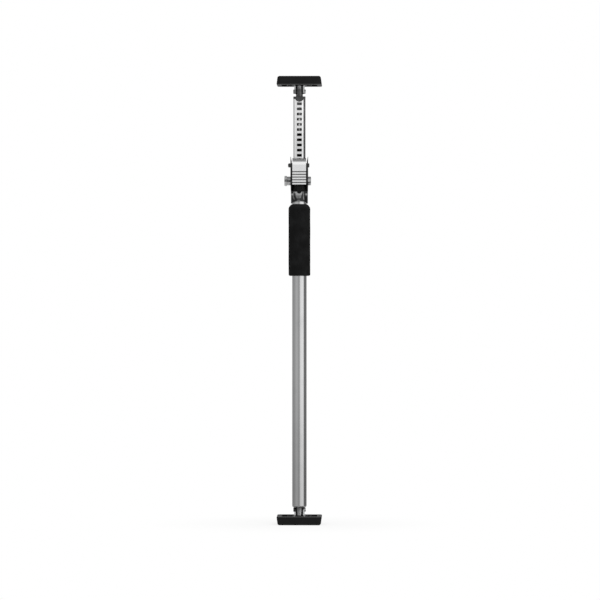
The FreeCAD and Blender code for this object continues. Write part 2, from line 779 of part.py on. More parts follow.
def swivel_stud(end, shoulder, plug_length):
    """A round-ended tongue past the pin, with a journal that turns in the plug above it."""
    body = new_body(f"{end}_swivel_stud")
    radius = stud_diameter / 2
    journal = journal_diameter / 2
    tip = pin_height - stud_reach
    clip_from = shoulder + seat_gap + plug_length + seat_gap
    clip_to = clip_from + clip_thickness
    profile = sketch_on(body, "XZ_Plane")
    outline(
        profile,
        [
            (0, tip),
            (radius - stud_tip_round, tip, stud_tip_round),
            (radius, tip + stud_tip_round),
            (radius, shoulder),
            (journal, shoulder),
            (journal, clip_from),
            (clip_bore, clip_from),
            (clip_bore, clip_to),
            (journal, clip_to),
            (journal, clip_to + journal_tail),
            (0, clip_to + journal_tail),
        ],
    )
    revolve(body, profile)
    flat_top = shoulder if end == "foot" else pin_height + friction_width / 2 + seat_gap
    flat = sketch_on(body, "XY_Plane", flat_top)
    outline(
        flat,
        [(stud_flats / 2, -radius), (radius, -radius), (radius, radius), (stud_flats / 2, radius)],
    )
    flat_cut = cut(body, flat)
    mirror(body, [flat_cut], "YZ_Plane")
    cross_hole(body, 0, pin_height, pin_diameter / 2 + running_gap)
    place_end(body, end)

    clip = new_body(f"{end}_stud_clip")
    ring(clip, "XY_Plane", clip_bore, clip_diameter / 2, clip_from, clip_thickness)
    mouth = sketch_on(clip, "XY_Plane", clip_to)
    half_mouth = clip_mouth / 2
    outline(
        mouth,
        [(0, -half_mouth), (clip_diameter, -half_mouth), (clip_diameter, half_mouth), (0, half_mouth)],
    )
    cut(clip, mouth)
    place_end(clip, end)


def make_end(end, seat, plug_length):
    """All pieces of one end, where seat is the plug's face above the pad's."""
    rubber_pad(end)
    pad_plate(end)
    pivot_ear(end, "left")
    pivot_ear(end, "right")
    ear_rivets(end)
    pivot_pin(end)
    friction_plates(end)
    swivel_stud(end, seat - seat_gap, plug_length)


# The outer tube and what it carries


def outer_tube():
    """A drawn tube whose lower edge is rolled in under the foot plug."""
    body = new_body("outer_tube")
    profile = sketch_on(body, "XZ_Plane")
    roll_centre = tube_radius - roll_radius
    outline(
        profile,
        [
            (roll_opening, tube_base),
            (roll_centre, tube_base, roll_radius),
            (tube_radius, tube_base + roll_radius),
            (tube_radius, tube_top),
            (bore_radius, tube_top),
            (bore_radius, tube_base + roll_radius, tube_wall - roll_radius),
            (roll_centre, tube_base + tube_wall),
            (roll_opening, tube_base + tube_wall),
        ],
    )
    revolve(body, profile)
    back_hole(body, tube_base + plug_rivet_height)
    back_hole(body, sleeve_base + sleeve_straight / 2)


def foot_plug():
    body = new_body("foot_plug")
    hole = journal_diameter / 2 + running_gap
    ring(body, "XY_Plane", hole, bore_radius - stem_gap, foot_seat, foot_plug_length)
    rivet_z = tube_base + plug_rivet_height
    back_hole(body, rivet_z, bore_radius - cross_rivet_depth)
    back_rivet("foot_plug_rivet", tube_radius, tube_wall + cross_rivet_depth, rivet_z)


def foam_grip():
    body = new_body("foam_grip")
    high = tube_top - grip_drop
    low = high - grip_length
    inside = tube_radius + stem_gap
    outside = tube_radius + grip_wall
    profile = sketch_on(body, "XZ_Plane")
    outline(
        profile,
        [
            (inside, low),
            (outside - grip_foot_round, low, grip_foot_round),
            (outside, low + grip_foot_round),
            (outside, high - grip_top_round, grip_top_round),
            (outside - grip_top_round, high),
            (inside, high),
        ],
    )
    revolve(body, profile)


def ratchet_housing():
    """A round sleeve that flares into a channel, cut open in front between two pointed cheeks."""
    body = new_body("ratchet_housing")
    high = tube_top + cheek_top

    def channel(sketch, inset):
        rounded_rectangle(
            sketch,
            cheek_outside - inset,
            -(channel_front - inset),
            cheek_back - inset,
            cheek_corner - inset,
        )

    tube_end = sketch_on(body, "XY_Plane", sleeve_base)
    circle(tube_end, 0, 0, sleeve_outside)
    pad(body, tube_end, sleeve_straight)
    flare_low = sketch_on(body, "XY_Plane", flare_base)
    round_section(flare_low, sleeve_outside)
    flare_high = sketch_on(body, "XY_Plane", flare_top)
    channel(flare_high, 0)
    loft(body, "AdditiveLoft", flare_low, flare_high)
    cheeks = sketch_on(body, "XY_Plane", flare_top)
    channel(cheeks, 0)
    pad(body, cheeks, high - flare_top)

    bore = sketch_on(body, "XY_Plane", flare_base)
    circle(bore, 0, 0, sleeve_inside)
    cut(body, bore)
    flare_in_low = sketch_on(body, "XY_Plane", flare_base)
    round_section(flare_in_low, sleeve_inside)
    flare_in_high = sketch_on(body, "XY_Plane", flare_top)
    channel(flare_in_high, housing_wall)
    loft(body, "SubtractiveLoft", flare_in_low, flare_in_high)
    inside = sketch_on(body, "XY_Plane", flare_top)
    channel(inside, housing_wall)
    cut(body, inside, backwards=True)

    side = sketch_on(body, "YZ_Plane")
    outline(
        side,
        [
            (-2 * channel_front, front_edge),
            (-bar_front, front_edge),
            (-bar_front, front_edge + housing_wall),
            (-cheek_front, bolt_z - bolt_diameter / 4),
            (-cheek_front, lever_pin_z),
            (lever_pin_y - lever_pin_diameter / 2, high),
            (cheek_back + housing_wall, tube_top + cheek_back_top),
            (cheek_back + housing_wall, high + cheek_corner),
            (-2 * channel_front, high + cheek_corner),
        ],
    )
    cut(body, side, both_ways=True)
    taper = sketch_on(body, "XZ_Plane")
    foot, tip = cheek_outside - housing_wall, cheek_outside - point_tip
    outline(taper, [(-foot, high - point_taper), (foot, high - point_taper), (tip, high), (-tip, high)])
    cut(body, taper, both_ways=True)
    notch = sketch_on(body, "XZ_Plane", bar_front)
    circle(notch, 0, front_edge, notch_radius)
    cut(body, notch, backwards=True)
    arch = sketch_on(body, "XZ_Plane")
    circle(arch, 0, sleeve_base + arch_rise - arch_radius, arch_radius)
    cut(body, arch, backwards=True)
    stakes = sketch_on(body, "XZ_Plane", sleeve_outside - stake_depth)
    for x in (stake_spread, -stake_spread):
        circle(stakes, x, sleeve_base + sleeve_straight / 2, stake_diameter / 2)
    cut(body, stakes, backwards=True)
    cross_hole(body, lever_pin_y, lever_pin_z, lever_pin_diameter / 2)
    cross_hole(body, bolt_y, bolt_z, bolt_diameter / 2 + running_gap)
    rivet_z = sleeve_base + sleeve_straight / 2
    back_hole(body, rivet_z)
    rivet_depth = housing_wall + housing_gap + tube_wall + cross_rivet_depth / 2
    back_rivet("housing_rivet", sleeve_outside, rivet_depth, rivet_z)


def guide_bush():
    """The moulding that guides the bar: two shells in the tube, a collar, a key and a back tongue."""
    body = new_body("guide_bush")
    collar = sketch_on(body, "XY_Plane", tube_top)
    circle(collar, 0, 0, tube_radius - stem_gap)
    pad(body, collar, bush_collar)
    back = cheek_back - housing_wall - stem_gap
    flat_back = sketch_on(body, "XY_Plane", collar_top)
    rectangle(flat_back, tube_radius, back, tube_radius)
    cut(body, flat_back, bush_collar)
    shells = sketch_on(body, "XY_Plane", tube_top - bush_length)
    circle(shells, 0, 0, bore_radius - stem_gap)
    pad(body, shells, bush_length)
    opening = sketch_on(body, "XY_Plane", tube_top)
    rectangle(opening, tube_radius, -(bar_front + bush_gap), bar_front + bush_gap)
    cut(body, opening)
    key = sketch_on(body, "XZ_Plane", bar_front + bush_gap)
    key_radius = notch_radius - stem_gap
    outline(
        key,
        [
            (0, front_edge - key_radius, key_radius),
            (key_radius, front_edge),
            (key_radius, collar_top),
            (-key_radius, collar_top),
            (-key_radius, front_edge, key_radius),
        ],
    )
    pad(body, key, tube_radius + housing_wall - bar_front)
    tongue = sketch_on(body, "XY_Plane", collar_top)
    rectangle(tongue, bush_tongue_width / 2, bar_front + bush_gap, back)
    pad(body, tongue, bush_tongue)
    bore = sketch_on(body, "XY_Plane", collar_top)
    bore_half = bar_half_width + bush_gap
    bore_front = bar_front + bush_gap
    rounded_rectangle(bore, bore_half, -bore_front, bore_front, bar_corner + bush_gap)
    cut(body, bore)
    rivet_z = sleeve_base + sleeve_straight / 2
    back_hole(body, rivet_z, bore_radius - cross_rivet_depth / 2)


def cross_bolt():
    """The bolt through both cheeks, with its sleeve, nut and round lock nut."""
    shank_end = cheek_outside + nut_height + lock_nut_height

    def hexagon(body, start, height, chamfer_at):
        sketch = sketch_on(body, "YZ_Plane", start)
        apothem = bolt_flats / 2
        corner = apothem / math.cos(math.pi / HEXAGON_SIDES)
        outline(
            sketch,
            [
                (0, corner),
                (-apothem, corner / 2),
                (-apothem, -corner / 2),
                (0, -corner),
                (apothem, -corner / 2),
                (apothem, corner / 2),
            ],
        )
        pad(body, sketch, height)

        def on_outer_face(edge):
            return all(abs(corner.X - chamfer_at.value) < TOUCH for corner in edge.Vertexes)

        round_edges(body, hex_chamfer, on_outer_face, "Chamfer")

    bolt = new_body("cross_bolt")
    hexagon(bolt, cheek_outside, bolt_head, cheek_outside + bolt_head)
    shank = sketch_on(bolt, "YZ_Plane", -shank_end)
    circle(shank, 0, 0, bolt_diameter / 2)
    pad(bolt, shank, shank_end + cheek_outside)

    nut = new_body("cross_bolt_nut")
    hexagon(nut, -cheek_outside - nut_height, nut_height, -cheek_outside - nut_height)
    hole = sketch_on(nut, "YZ_Plane", -cheek_outside)
    circle(hole, 0, 0, bolt_diameter / 2)
    cut(nut, hole)

    lock = new_body("cross_bolt_lock_nut")
    disc = sketch_on(lock, "YZ_Plane", -shank_end)
    circle(disc, 0, 0, lock_nut_diameter / 2)
    pad(lock, disc, lock_nut_height)
    outer_face = -shank_end.value
    round_edges(lock, lock_nut_round, lambda edge: edge.BoundBox.XMax < outer_face + TOUCH)
    lock_hole = sketch_on(lock, "YZ_Plane")
    circle(lock_hole, 0, 0, bolt_diameter / 2)
    cut(lock, lock_hole)

    sleeve = new_body("bolt_sleeve")
    inside = bolt_diameter / 2 + running_gap
    ring(sleeve, "YZ_Plane", inside, sleeve_diameter / 2, -cheek_inside, 2 * cheek_inside)
    for body in (bolt, nut, lock, sleeve):
        put(body, 0, bolt_y, bolt_z)


def lever_pin():
    tail = lever_pin_cap_height / 2
    where = (lever_pin_y, lever_pin_z)
    head = (lever_pin_head, lever_pin_head_height)
    headed_pin("lever_pin", lever_pin_diameter, cheek_outside, *head, tail, *where)
    cap = (lever_pin_head, lever_pin_cap_height)
    push_cap("lever_pin_cap", lever_pin_diameter, cheek_outside, *cap, tail, *where)
    spacers = new_body("lever_pin_spacers", group=True)
    inside = lever_pin_diameter / 2 + running_gap
    length = lever_side_gap - face_gap
    ring(spacers, "YZ_Plane", inside, spacer_diameter / 2, cheek_inside - length, length)
    ring(spacers, "YZ_Plane", inside, spacer_diameter / 2, -cheek_inside, length)
    put(spacers, 0, *where)


# The release lever and its spring

hook_tip_y = -bar_inner_front - hook_short
hook_tip_z = held_slot + hook_rise
bend_y = hook_tip_y - hook_end * cosine(hook_slope) - hook_radius * sine(hook_slope)
bend_z = hook_tip_z + hook_end * sine(hook_slope) - hook_radius * cosine(hook_slope)


def plate_point(radius, drop):
    """A point of the thumb plate, at this distance from the bend's centre and down from its start."""
    y = bend_y - radius * cosine(lever_lean) - drop * sine(lever_lean)
    z = bend_z + radius * sine(lever_lean) - drop * cosine(lever_lean)
    return y, z


def hook_point(radius, along):
    """A point of the hook's end, at this distance from the bend's centre and past its end."""
    y = bend_y + radius * sine(hook_slope) + along * cosine(hook_slope)
    z = bend_z + radius * cosine(hook_slope) - along * sine(hook_slope)
    return y, z


def release_lever():
    """A ribbed thumb plate whose top curls over into a slot, with side flanges round its pin."""
    body = new_body("release_lever")
    inner_radius = hook_radius - lever_sheet
    profile = sketch_on(body, "YZ_Plane")
    outline(
        profile,
        [
            plate_point(hook_radius, lever_length),
            (*plate_point(hook_radius, 0), -hook_radius),
            hook_point(hook_radius, 0),
            hook_point(hook_radius, hook_end),
            hook_point(inner_radius, hook_end),
            (*hook_point(inner_radius, 0), inner_radius),
            plate_point(inner_radius, 0),
            plate_point(inner_radius, lever_length),
        ],
    )
    pad(body, profile, 2 * lever_half_width, both_ways=True)

    middle_radius = hook_radius - lever_sheet / 2
    flange = sketch_on(body, "YZ_Plane", lever_half_width - lever_sheet)
    outline(
        flange,
        [
            plate_point(middle_radius, lever_flange),
            (lever_pin_y, lever_pin_z - eye_radius, eye_radius),
            (lever_pin_y + eye_radius, lever_pin_z, eye_radius),
            (lever_pin_y, lever_pin_z + eye_radius),
            plate_point(middle_radius, 0),
        ],
    )
    wall = pad(body, flange, lever_sheet)
    mirror(body, [wall], "YZ_Plane")

    tongue_half = slot_width / 2 - hook_side_gap
    beside = sketch_on(body, "YZ_Plane", tongue_half)
    full_width_end = -bar_front - hook_clear
    outline(
        beside,
        [
            (full_width_end, held_slot - slot_height),
            (0, held_slot - slot_height),
            (0, held_slot + slot_height),
            (full_width_end, held_slot + slot_height),
        ],
    )
    narrow = cut(body, beside, lever_half_width, backwards=True)
    mirror(body, [narrow], "YZ_Plane")

    ribs = sketch_on(body, "YZ_Plane")
    for number in range(rib_count):
        y, z = plate_point(hook_radius, lever_length - rib_first - number * rib_pitch)
        circle(ribs, y, z, rib_radius)
    cut(body, ribs, both_ways=True)
    cross_hole(body, lever_pin_y, lever_pin_z, lever_pin_diameter / 2 + running_gap)


def lever_spring():
    """A torsion spring on the lever pin: one leg on the thumb plate, the other on the bolt's sleeve."""
    radius = spring_radius.value
    wire = spring_wire.value
    pitch = spring_pitch.value
    pin = FreeCAD.Vector(0, lever_pin_y.value, lever_pin_z.value)
    sleeve = FreeCAD.Vector(0, bolt_y.value, bolt_z.value)
    stop = sleeve_diameter.value / 2 + wire / 2

    def on_coil(angle, x):
        return pin + FreeCAD.Vector(x, radius * math.cos(angle), radius * math.sin(angle))

    # The long leg is tangent to the coil and to the front of the bolt's sleeve.
    away = math.atan2(sleeve.z - pin.z, sleeve.y - pin.y)
    span = math.hypot(sleeve.z - pin.z, sleeve.y - pin.y)
    leave = away - math.acos((radius - stop) / span)
    # The short leg points down and forward to the back of the thumb plate.
    enter = math.radians(spring_enter.value)
    turn = leave - enter
    turn += 2 * math.pi * math.ceil(spring_turns - turn / (2 * math.pi))
    length = pitch * turn / (2 * math.pi)

    coil = Part.makeHelix(pitch, length, radius)
    coil.rotate(FreeCAD.Vector(), Z_AXIS, math.degrees(enter))
    coil.rotate(FreeCAD.Vector(), DIAGONAL, THIRD_TURN)
    coil.translate(pin - FreeCAD.Vector(length / 2, 0, 0))
    begin = on_coil(enter, -length / 2)
    back = FreeCAD.Vector(0, math.sin(enter), -math.cos(enter))
    plate_y, plate_z = (place.value for place in plate_point(hook_radius - lever_sheet, 0))
    lean = math.radians(lever_lean.value)
    outward = FreeCAD.Vector(0, -math.cos(lean), math.sin(lean))
    reach = FreeCAD.Vector(0, plate_y, plate_z) - FreeCAD.Vector(0, begin.y, begin.z)
    short_leg = (reach.dot(outward) - wire / 2 - face_gap.value) / back.dot(outward)
    first = begin + back * short_leg
    finish = on_coil(leave, length / 2)
    ahead = FreeCAD.Vector(0, -math.sin(leave), math.cos(leave))
    long_leg = math.sqrt(span**2 - (radius - stop) ** 2)
    last = finish + ahead * long_leg
    path = Part.Wire([Part.makeLine(first, begin), *coil.Edges, Part.makeLine(finish, last)])
    section = Part.Wire([Part.makeCircle(wire / 2, first, back)])
    spring = doc.addObject("Part::Feature", "lever_spring")
    spring.Label = "lever_spring"
    spring.Shape = path.makePipeShell([section], True, True)
    pieces.append(spring)


# The slotted bar and its ends


def key_outline(sketch, inset):
    """The segment of a circle that the head plug's key fills in the bar's front."""
    half_width = key_width / 2 - inset
    depth = key_depth - inset
    radius = (half_width * half_width + depth * depth) / (2 * depth)
    outline(sketch, [(-half_width, bar_top, radius), (half_width, bar_top)])


def slotted_bar():
    """A rounded rectangular tube with a row of slots and a half-round notch in its front face."""
    body = new_body("slotted_bar")
    section = sketch_on(body, "XY_Plane", bar_base)
    rounded_rectangle(section, bar_half_width, -bar_front, bar_front, bar_corner)
    rounded_rectangle(section, bar_inner_half_width, -bar_inner_front, bar_inner_front, bar_inner_corner)
    pad(body, section, bar_top - bar_base)
    back_hole(body, bar_base + plug_rivet_height)
    back_hole(body, bar_top - plug_rivet_height)
    notch = sketch_on(body, "XZ_Plane")
    key_outline(notch, 0)
    cut(body, notch, backwards=True)
    slot = sketch_on(body, "XZ_Plane")
    half_slot = slot_height / 2
    rounded_rectangle(slot, slot_width / 2, top_slot - half_slot, top_slot + half_slot, slot_corner)
    first = cut(body, slot, backwards=True)
    repeat(body, first, "Z_Axis", -slot_pitch, slot_count)


def bar_stem(body, start):
    """A block that fits inside the bar."""
    section = sketch_on(body, "XY_Plane", start)
    half_width = bar_inner_half_width - stem_gap
    front = bar_inner_front - stem_gap
    rounded_rectangle(section, half_width, -front, front, bar_inner_corner)
    return pad(body, section, stem_length)


def bar_glide():
    body = new_body("bar_glide")
    base = sketch_on(body, "XY_Plane", bar_base - glide_base)
    circle(base, 0, 0, bore_radius - glide_gap)
    pad(body, base, glide_base)
    bar_stem(body, bar_base)
    rivet_z = bar_base + plug_rivet_height
    back_hole(body, rivet_z, bar_inner_front - cross_rivet_depth)
    back_rivet("bar_glide_rivet", bar_front, bar_wall + cross_rivet_depth, rivet_z)


def head_plug():
    """The bar's end piece: a cap on its end, a stem inside and a key in the notch of its front."""
    body = new_body("head_plug")
    bar_stem(body, bar_top - stem_length)
    cap = sketch_on(body, "XY_Plane", bar_top)
    rounded_rectangle(cap, bar_half_width, -bar_front, bar_front, bar_corner)
    pad(body, cap, plug_cap)
    key = sketch_on(body, "XZ_Plane", bar_inner_front - stem_gap)
    key_outline(key, stem_gap)
    pad(body, key, bar_wall + stem_gap)
    hole = sketch_on(body, "XY_Plane", head_seat)
    circle(hole, 0, 0, journal_diameter / 2 + running_gap)
    cut(body, hole)
    rivet_z = bar_top - plug_rivet_height
    rivet_end = (journal_diameter / 2 + running_gap + bar_inner_front) / 2
    back_hole(body, rivet_z, rivet_end)
    back_rivet("head_plug_rivet", bar_front, bar_front - rivet_end, rivet_z)


make_end("foot", foot_seat, foot_plug_length)
make_end("head", pin_height + head_drop, stem_length + plug_cap)
outer_tube()
foot_plug()
foam_grip()
ratchet_housing()
guide_bush()
cross_bolt()
lever_pin()
release_lever()
lever_spring()
slotted_bar()
bar_glide()
head_plug()

doc.recompute()
for item in doc.Objects:
    if "Invalid" in item.State or "Error" in item.State:
        raise RuntimeError(f"{item.Name} failed: {item.State}")
for piece in pieces:
    if piece.Shape.isNull() or not piece.Shape.isValid():
        raise RuntimeError(f"{piece.Label} has no valid shape")

os.makedirs("parts", exist_ok=True)
for piece in pieces:
    piece.Shape.exportStep(f"parts/{piece.Label}.step")
    print(piece.Label, len(piece.Shape.Solids), round(piece.Shape.Volume))
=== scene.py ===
# %% [markdown]
# # A telescopic ceiling support
#
# A support like this one braces a panel against a ceiling: a steel tube stands on a swivelling rubber
# pad, a slotted bar slides out of the tube, and a thumb lever drops into one of the bar's slots.
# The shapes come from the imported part. This lesson gives them their finishes, makes two of them anew,
# the soft foam grip and the lever's spring, and sets up a plain white studio. Lengths are in metres.

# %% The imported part
import json
import math

import bpy
import numpy as np
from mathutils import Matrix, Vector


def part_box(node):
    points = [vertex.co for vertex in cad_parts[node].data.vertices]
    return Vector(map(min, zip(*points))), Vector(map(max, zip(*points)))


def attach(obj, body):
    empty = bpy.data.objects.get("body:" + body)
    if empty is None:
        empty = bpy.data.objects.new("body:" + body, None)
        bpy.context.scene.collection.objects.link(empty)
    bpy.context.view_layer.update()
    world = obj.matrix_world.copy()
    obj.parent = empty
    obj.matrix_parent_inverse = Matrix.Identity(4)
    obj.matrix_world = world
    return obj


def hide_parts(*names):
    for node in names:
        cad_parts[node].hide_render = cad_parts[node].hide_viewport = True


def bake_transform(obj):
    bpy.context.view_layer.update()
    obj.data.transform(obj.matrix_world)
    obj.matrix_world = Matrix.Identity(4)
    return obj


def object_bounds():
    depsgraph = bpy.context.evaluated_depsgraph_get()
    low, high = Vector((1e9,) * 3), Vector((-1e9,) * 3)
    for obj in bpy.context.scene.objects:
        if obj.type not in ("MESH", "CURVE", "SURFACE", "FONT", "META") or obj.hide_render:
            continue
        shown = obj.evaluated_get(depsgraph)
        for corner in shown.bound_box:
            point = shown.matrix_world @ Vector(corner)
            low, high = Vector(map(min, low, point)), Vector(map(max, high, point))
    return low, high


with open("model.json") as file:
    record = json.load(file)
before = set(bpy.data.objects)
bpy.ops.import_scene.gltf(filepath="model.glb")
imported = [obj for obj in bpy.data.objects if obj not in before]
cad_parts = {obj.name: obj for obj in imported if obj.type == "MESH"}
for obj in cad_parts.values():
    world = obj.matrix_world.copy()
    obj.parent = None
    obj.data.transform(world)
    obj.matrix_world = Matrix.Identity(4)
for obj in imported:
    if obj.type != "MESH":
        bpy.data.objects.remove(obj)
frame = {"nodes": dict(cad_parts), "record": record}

cad_low, cad_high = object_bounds()
slot_of = {entry["node"]: entry["material_slot"] for entry in frame["record"]["subparts"]}
height = cad_high.z
middle = height / 2
TO_MM = 1000
print(len(frame["nodes"]), "pieces,", round(height * TO_MM, 1), "mm tall")

# %% [markdown]
# ## Arithmetic on sockets
#
# A finish is a small sum: a bit of noise, a mask, a mix of two colours. Written with node calls it is
# hard to read, so a socket is wrapped in a class whose plus, minus and times add the Math nodes.
# Every other node comes from one method: its type, its settings, then what goes into its sockets.


# %% Sockets that can be added up
class Flow:
    """A number that flows out of a node. Arithmetic on it adds a Math node to the same tree."""

    def __init__(self, shop, socket):
        self.shop = shop
        self.socket = socket

    def __add__(self, other):
        return self.shop.sum("ADD", self, other)

    def __radd__(self, other):
        return self.shop.sum("ADD", other, self)

    def __sub__(self, other):
        return self.shop.sum("SUBTRACT", self, other)

    def __rsub__(self, other):
        return self.shop.sum("SUBTRACT", other, self)

    def __mul__(self, other):
        return self.shop.sum("MULTIPLY", self, other)

    def __rmul__(self, other):
        return self.shop.sum("MULTIPLY", other, self)

    def __truediv__(self, other):
        return self.shop.sum("DIVIDE", self, other)

    def __neg__(self):
        return self.shop.sum("SUBTRACT", 0.0, self)

    def __abs__(self):
        return self.shop.sum("ABSOLUTE", self)


print("sockets can be added up")

# %% [markdown]
# ## A shop for node trees
#
# A shop holds one node tree and the handful of nodes that all finishes are made of. Masks run from 0 to
# 1: a step rises, a fade falls, a band does both, and patches are a step in a noise. A Mix node has a
# pair of sockets for each kind of data, all with the same names, so its colour sockets are numbered.

# %% Masks, mixes and noise
MIX_SHARE = 0
MIX_FIRST = 6
MIX_SECOND = 7
MIX_RESULT = 2


class Shop:
    """A node tree under construction."""

    def __init__(self, tree):
        self.tree = tree
        tree.nodes.clear()

    def node(self, kind, settings=None, inputs=None):
        """Add a node of this kind. Settings are set first, then each socket gets a value or a link."""
        made = self.tree.nodes.new(kind)
        for name, value in (settings or {}).items():
            if name == "stops":
                fill_ramp(made.color_ramp, value)
            else:
                setattr(made, name, value)
        for key, value in (inputs or {}).items():
            if isinstance(value, Flow):
                self.tree.links.new(value.socket, made.inputs[key])
            else:
                made.inputs[key].default_value = value
        return made

    def flow(self, kind, settings=None, inputs=None, output=0):
        return Flow(self, self.node(kind, settings, inputs).outputs[output])

    def sum(self, operation, *parts):
        inputs = dict(enumerate(parts))
        return self.flow("ShaderNodeMath", {"operation": operation}, inputs)

    def most(self, first, *others):
        """The largest of these numbers."""
        for other in others:
            first = self.sum("MAXIMUM", first, other)
        return first

    def split(self, vector):
        """The parts of a vector along x, y and z."""
        parts = self.node("ShaderNodeSeparateXYZ", None, {"Vector": vector})
        return [Flow(self, out) for out in parts.outputs]

    def step(self, value, low, high):
        """0 below low, 1 above high, and a smooth S between them."""
        settings = {"interpolation_type": "SMOOTHSTEP"}
        inputs = {"Value": value, "From Min": low, "From Max": high}
        return self.flow("ShaderNodeMapRange", settings, inputs)

    def fade(self, value, low, high):
        """1 below low, 0 above high, and a smooth S between them."""
        return 1 - self.step(value, low, high)

    def band(self, value, centre, half_width, core=0.4):
        """1 over the core's share of the band, falling smoothly to 0 at half_width to either side."""
        return self.fade(abs(value - centre), half_width * core, half_width)

    def mix(self, share, first, second, at_most=1.0):
        """The first colour where share is 0. Where it is 1, the second one covers it by at_most."""
        if at_most < 1:
            share = share * at_most
        inputs = {MIX_SHARE: share, MIX_FIRST: first, MIX_SECOND: second}
        return self.flow("ShaderNodeMix", {"data_type": "RGBA"}, inputs, MIX_RESULT)

    def stretch(self, vector, factors):
        inputs = {0: vector, 1: factors}
        return self.flow("ShaderNodeVectorMath", {"operation": "MULTIPLY"}, inputs)

    def noise(self, vector, scale, detail=3.0):
        inputs = {"Vector": vector, "Scale": scale, "Detail": detail}
        return self.flow("ShaderNodeTexNoise", None, inputs)

    def sway(self, noise, size):
        """Noise swings about a half. This swings about nothing, and over this size in all."""
        return (noise - 0.5) * size

    def cells(self, vector, scale):
        return self.flow("ShaderNodeTexVoronoi", None, {"Vector": vector, "Scale": scale})


def fill_ramp(ramp, stops):
    """Give a colour ramp these stops, each a place from 0 to 1 and a grey level."""
    while len(ramp.elements) < len(stops):
        ramp.elements.new(1.0)
    for element, (place, level) in zip(ramp.elements, stops):
        element.position = place
        element.color = (level, level, level, 1)


print("shop open")

# %% [markdown]
# ## A finish
#
# A finish is a shop for one material. It reads the part's own coordinates, so a mask can name a height
# or a side of the part, and it ends in one Principled shader. Almost every colour here is a grey. In the
# sums for roughness, each mask stands beside how much rougher it makes the surface.


# %% A material in the part's own coordinates
class Finish(Shop):
    """A material with one Principled shader, read in the part's own coordinates, in metres."""

    def __init__(self, name):
        self.material = bpy.data.materials.new(name)
        self.material.use_nodes = True
        super().__init__(self.material.node_tree)
        source = self.node("ShaderNodeTexCoord")
        self.place = Flow(self, source.outputs["Object"])
        self.facing = Flow(self, source.outputs["Normal"])
        self.x, self.y, self.z = self.split(self.place)

    def streaks(self, fineness, detail=4.0):
        """Noise with its own fineness along x, y and z. Where it is coarse along one, it draws lines."""
        return self.noise(self.stretch(self.place, fineness), 1.0, detail)

    def patches(self, scale, detail, low, high):
        """Soft-edged patches, where a noise of this scale rises from low to high."""
        return self.step(self.noise(self.place, scale, detail), low, high)

    def bump(self, relief, distance, strength=1.0):
        """A normal that follows a relief from 0 to 1, which stands for this distance."""
        inputs = {"Height": relief, "Distance": distance, "Strength": strength}
        return self.flow("ShaderNodeBump", None, inputs)

    def close(self, **sockets):
        """End the material in its shader. Underscores in a name stand for spaces."""
        inputs = {name.replace("_", " "): value for name, value in sockets.items()}
        shader = self.node("ShaderNodeBsdfPrincipled", None, inputs)
        out = self.node("ShaderNodeOutputMaterial")
        self.tree.links.new(shader.outputs[0], out.inputs["Surface"])
        return self.material


def grey(level, blue=0.0):
    """A neutral colour, a touch cooler if blue is positive."""
    return (level, level * (1 + blue / 2), level * (1 + blue), 1)


finishes = {}
print("ready for finishes")

# %% [markdown]
# ## Plated steel
#
# Almost all the metal here is drawn or pressed steel with a thin bright plating. What tells the pieces
# apart is how bright the plating is, how blurred its reflections are, and which way the fine lines of
# the drawing die run. One function makes them all. The lines are noise squeezed along one axis. They
# change the roughness and tilt the surface a little, and a slow cloud dulls the plating in patches.
# The tube is also darker toward the floor, matt and painted lighter at its rolled end, and painted with the
# sleeve's shadow under the sleeve.

# %% One recipe for plated steel
# Fineness of lines along x, y and z: drawn along an axis, turned about one, or even.
ALONG_Z = (1500.0, 1500.0, 12.0)
ALONG_X = (12.0, 1500.0, 1500.0)
TURNED_X = (2500.0, 60.0, 60.0)
EVEN = (700.0, 700.0, 700.0)
LINE_DEPTH = 0.000012
FINE_DEPTH = 0.00001
# Heights below and above every piece that is plated so.
BELOW_ALL = 0.001
ABOVE_ALL = 1.0
# The rolled end is painted a lighter matt grey, for light that it catches, and the sleeve casts a painted
# shadow.
LIT_END_BLUR = 0.0006
LIT_END_GREY = grey(0.36)
SHADOW_BLUR = 0.0005
SLEEVE_SHADOW = grey(0.05)


def plated_steel(
    name, level, rough, lines, darker_below=BELOW_ALL, lit_end_below=BELOW_ALL, shadow_above=ABOVE_ALL
):
    """Plating of this brightness and roughness. lines holds the fineness of the lines along x, y, z.

    Below the first of the three heights it gets darker toward the floor, below the second it is matt and
    painted lighter, for light that the rolled end catches, and above the third it is painted with the
    sleeve's shadow.
    """
    steel = Finish(name)
    grain = steel.streaks(lines)
    darker_patch = steel.patches(scale=35.0, detail=4.0, low=0.45, high=0.75)
    speck = steel.patches(scale=900.0, detail=2.0, low=0.66, high=0.78)
    height_tone = steel.fade(steel.z, darker_below / 10, darker_below)
    # Painted light: the rolled end is a lighter matt grey.
    lit_end = steel.fade(steel.z, lit_end_below - LIT_END_BLUR, lit_end_below)
    # Painted shadow of the sleeve on the top of the tube.
    dark_band = steel.step(steel.z, shadow_above - SHADOW_BLUR, shadow_above)
    colour = steel.mix(darker_patch, grey(level, blue=0.01), grey(level * 0.72, blue=0.02), at_most=0.25)
    colour = steel.mix(speck * 0.12 + height_tone * 0.45, colour, grey(level * 0.5))
    colour = steel.mix(lit_end, colour, LIT_END_GREY)
    colour = steel.mix(dark_band, colour, SLEEVE_SHADOW, at_most=0.75)
    return steel.close(
        Base_Color=colour,
        Metallic=1 - lit_end * 0.9,
        Roughness=rough + steel.sway(grain, 0.12) + darker_patch * 0.06 + speck * 0.08 + lit_end * 0.4,
        Normal=steel.bump(grain, LINE_DEPTH),
    )


tube_low, tube_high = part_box("outer_tube")
# Heights where the tube turns darker, where its rolled end is painted lighter, and where the sleeve's
# painted shadow begins.
DARKER_BELOW = 0.3
ROLLED_END = tube_low.z + 0.0026
UNDER_SLEEVE = tube_high.z - 0.0126

